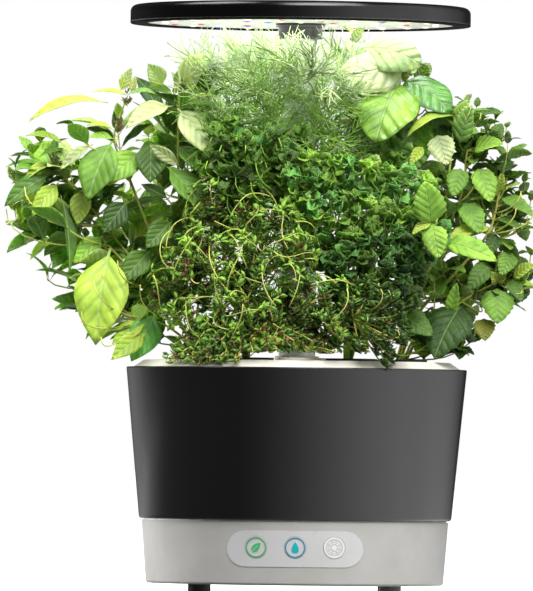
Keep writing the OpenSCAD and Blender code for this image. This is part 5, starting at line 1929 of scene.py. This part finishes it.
@dataclass
class Studio:
    """A white floor that keeps the shadow, broad light at the right, a strip at the back left, and softboxes.

    low_glow and high_glow give the brightness that shiny surfaces see on the floor and above it, at each
    turn in degrees from the front toward the right. The softboxes look at the height aim.
    """

    floor_radius: float = 60.0
    floor_grey: float = 0.11
    floor_pale: float = 0.8
    floor_white: float = 0.93
    room: float = 0.04
    aim: float = 0.26
    low_glow: Sequence[Pair] = (
        (-178, 0.94), (-176, 0.0), (-150, 0.4), (-135, 0.5), (-120, 0.25), (-105, 0.0), (-36, 0.0),
        (-20, 0.14), (0, 0.5), (25, 1.15), (50, 1.85), (75, 2.1), (106, 1.5), (142, 0.3), (160, 0.0),
        (176, 0.0), (178, 0.94))
    high_glow: Sequence[Pair] = (
        (-20, 0.0), (0, 0.12), (20, 0.5), (45, 1.2), (100, 1.2), (125, 0.4), (150, 0.0))

    def turn(self, graph: Graph, x: Socket, y: Socket) -> Socket:
        """The turn of a place or direction, in degrees from the front toward the right."""
        return graph.times(graph.math("ARCTAN2", x, graph.times(y, -1.0)), 180 / math.pi)

    def rays(self, graph: Graph) -> tuple[Socket, Socket]:
        """Whether the camera sent a ray, and whether a shiny or clear surface did."""
        camera, glossy, clear = (graph.add("LightPath", {}, f"Is {kind} Ray")
                                 for kind in ("Camera", "Glossy", "Transmission"))
        return camera, graph.math("MAXIMUM", glossy, clear)

    def floor(self) -> None:
        """Makes the round floor, white to the camera and lit at the sides to shiny surfaces."""
        deselect_all()
        bpy.ops.mesh.primitive_circle_add(vertices=96, radius=self.floor_radius, fill_type="NGON")
        disc = bpy.context.object
        disc.name = "studio_floor"
        edit(disc)
        bpy.ops.mesh.inset(thickness=self.floor_radius * 0.9)
        bpy.ops.mesh.normals_make_consistent(inside=False)
        close_edit()
        graph, material = Graph.material("studio_floor")
        camera, shiny = self.rays(graph)
        x, y = (graph.add("SeparateXYZ", {0: graph.place()}, axis) for axis in "XY")
        glow = graph.times(shiny, graph.steps(self.turn(graph, x, y), self.low_glow))
        light = graph.math("MAXIMUM", graph.times(camera, self.floor_white), glow)
        mottle = graph.vary(graph.noise(0.4, graph.place()), 0.99, 1.0)
        seen = graph.blend(camera, (self.floor_grey,) * 3 + (1,), (self.floor_pale,) * 3 + (1,))
        pale = graph.add("BsdfDiffuse", {"Color": seen, "Roughness": 0.6})
        shine = graph.add("Emission", {"Color": (1, 1, 1, 1), "Strength": graph.times(light, mottle)})
        graph.end(graph.add("AddShader", {0: pale, 1: shine}))
        dress(disc, material)
        disc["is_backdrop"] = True

    def world(self) -> None:
        """Lights the room: white to the camera, broad soft light at the right, a strip at the back left."""
        world = bpy.data.worlds.new("studio")
        bpy.context.scene.world = world
        world.use_nodes = True
        graph = Graph(world.node_tree)
        way = graph.add("TexCoord", {}, "Generated")
        x, y, z = (graph.add("SeparateXYZ", {0: way}, axis) for axis in "XYZ")
        high = graph.times(graph.spread(z, -0.5, -0.1, smooth=True), graph.spread(z, 0.9, 0.65, smooth=True))
        side = graph.steps(self.turn(graph, x, y), self.high_glow)
        light = graph.math("ADD", self.room, graph.times(side, high))
        camera, shiny = self.rays(graph)
        behind = graph.times(shiny, graph.spread(y, 0.997, 0.9995, smooth=True))
        strength = graph.add("Mix", {0: graph.math("MAXIMUM", camera, behind), 2: light, 3: 1.0}, 0,
                             data_type="FLOAT")
        graph.end(graph.add("Background", {"Color": (1, 1, 1, 1), "Strength": strength}), "World")

    def light(self, name: str, shape: str, width: float, height: float, power: float) -> Piece:
        """Makes a flat light.

        Args:
            name: Its name.
            shape: RECTANGLE or DISK.
            width: Its width.
            height: Its height.
            power: Its power in watts.

        Returns:
            The light.
        """
        light = bpy.data.lights.new(name, "AREA")
        light.shape, light.size, light.size_y, light.energy = shape, width, height, power
        return link(name, light)

    def softbox(self, name: str, turn: float, rise: float, away: float, size: Pair, power: float) -> None:
        """Hangs a softbox that looks at the plants. One that hangs low isn't mirrored in the bowl.

        Args:
            name: Its name.
            turn: Degrees from the front toward the right.
            rise: Degrees above the floor.
            away: How far off it is.
            size: Its width and height.
            power: Its power in watts.
        """
        turned, raised = math.radians(turn), math.radians(rise)
        flat = math.cos(raised)
        way = Vector((math.sin(turned) * flat, -math.cos(turned) * flat, math.sin(raised)))
        lamp = self.light(name, "RECTANGLE", *size, power)
        lamp.location = Vector((0, 0, self.aim)) + way * away
        lamp.rotation_euler = (-way).to_track_quat("-Z", "Y").to_euler()
        lamp.visible_glossy = rise > 0

    def grow_light(self, power: float) -> None:
        """Hangs the light of the LED panel just under it, facing down.

        Args:
            power: Its power in watts.
        """
        low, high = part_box("led_board")
        width = (high.x - low.x) * 0.9
        self.light("grow_light", "DISK", width, width, power).location = (0, 0, low.z - 0.0015)

    def build(self) -> None:
        """Makes the floor, the world and the lamps, and sets the plain view transform."""
        self.floor()
        self.world()
        self.softbox("top_softbox", turn=22, rise=58, away=2.2, size=(1.4, 1.4), power=46)
        self.softbox("front_softbox", turn=8, rise=44, away=3.0, size=(1.6, 1.6), power=46)
        self.softbox("high_softbox", turn=-88, rise=58, away=2.4, size=(1.2, 1.2), power=34)
        self.softbox("left_softbox", turn=-120, rise=-4, away=1.5, size=(0.9, 0.25), power=30)
        self.grow_light(power=0.36)
        bpy.context.scene.view_settings.view_transform = "Standard"


@dataclass
class Viewpoint:
    """The camera: a long lens far off, a little below the middle of the plants."""

    place: Point = (-0.0237, -8.781, 0.107)
    lens: float = 700.5
    pitch: float = 0.79
    roll: float = 0.65
    far: float = 200.0

    def build(self) -> None:
        """Makes the camera and makes it the scene's own."""
        camera = bpy.data.cameras.new("camera")
        camera.lens, camera.clip_end = self.lens, self.far
        seen = link("camera", camera)
        seen.location = self.place
        tilt = Matrix.Rotation(math.radians(90 + self.pitch), 4, "X")
        seen.rotation_euler = (tilt @ Matrix.Rotation(math.radians(self.roll), 4, "Z")).to_euler()
        bpy.context.scene.camera = seen


def corners(box: tuple[Vector, Vector]) -> list[list[float]]:
    """A box as plain lists of numbers."""
    return [[float(value) for value in corner] for corner in box]


def main() -> None:
    """Builds the scene in order."""
    logging.basicConfig(level=logging.INFO, format="%(name)s: %(message)s")
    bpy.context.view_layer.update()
    Viewpoint().build()
    Studio().build()
    materials = Housings().dress()
    GrowSponges().build(materials["sponge_brown"])
    KeyMarks().build({sign: [finish.build() for finish in pair] for sign, pair in MARKS.items()})
    stalk = StemFinish().build()
    for herb in (thai_basil, dill, genovese_basil, mint, parsley, thyme):
        herb().build(stalk)


if __name__ == "__main__":
    main()
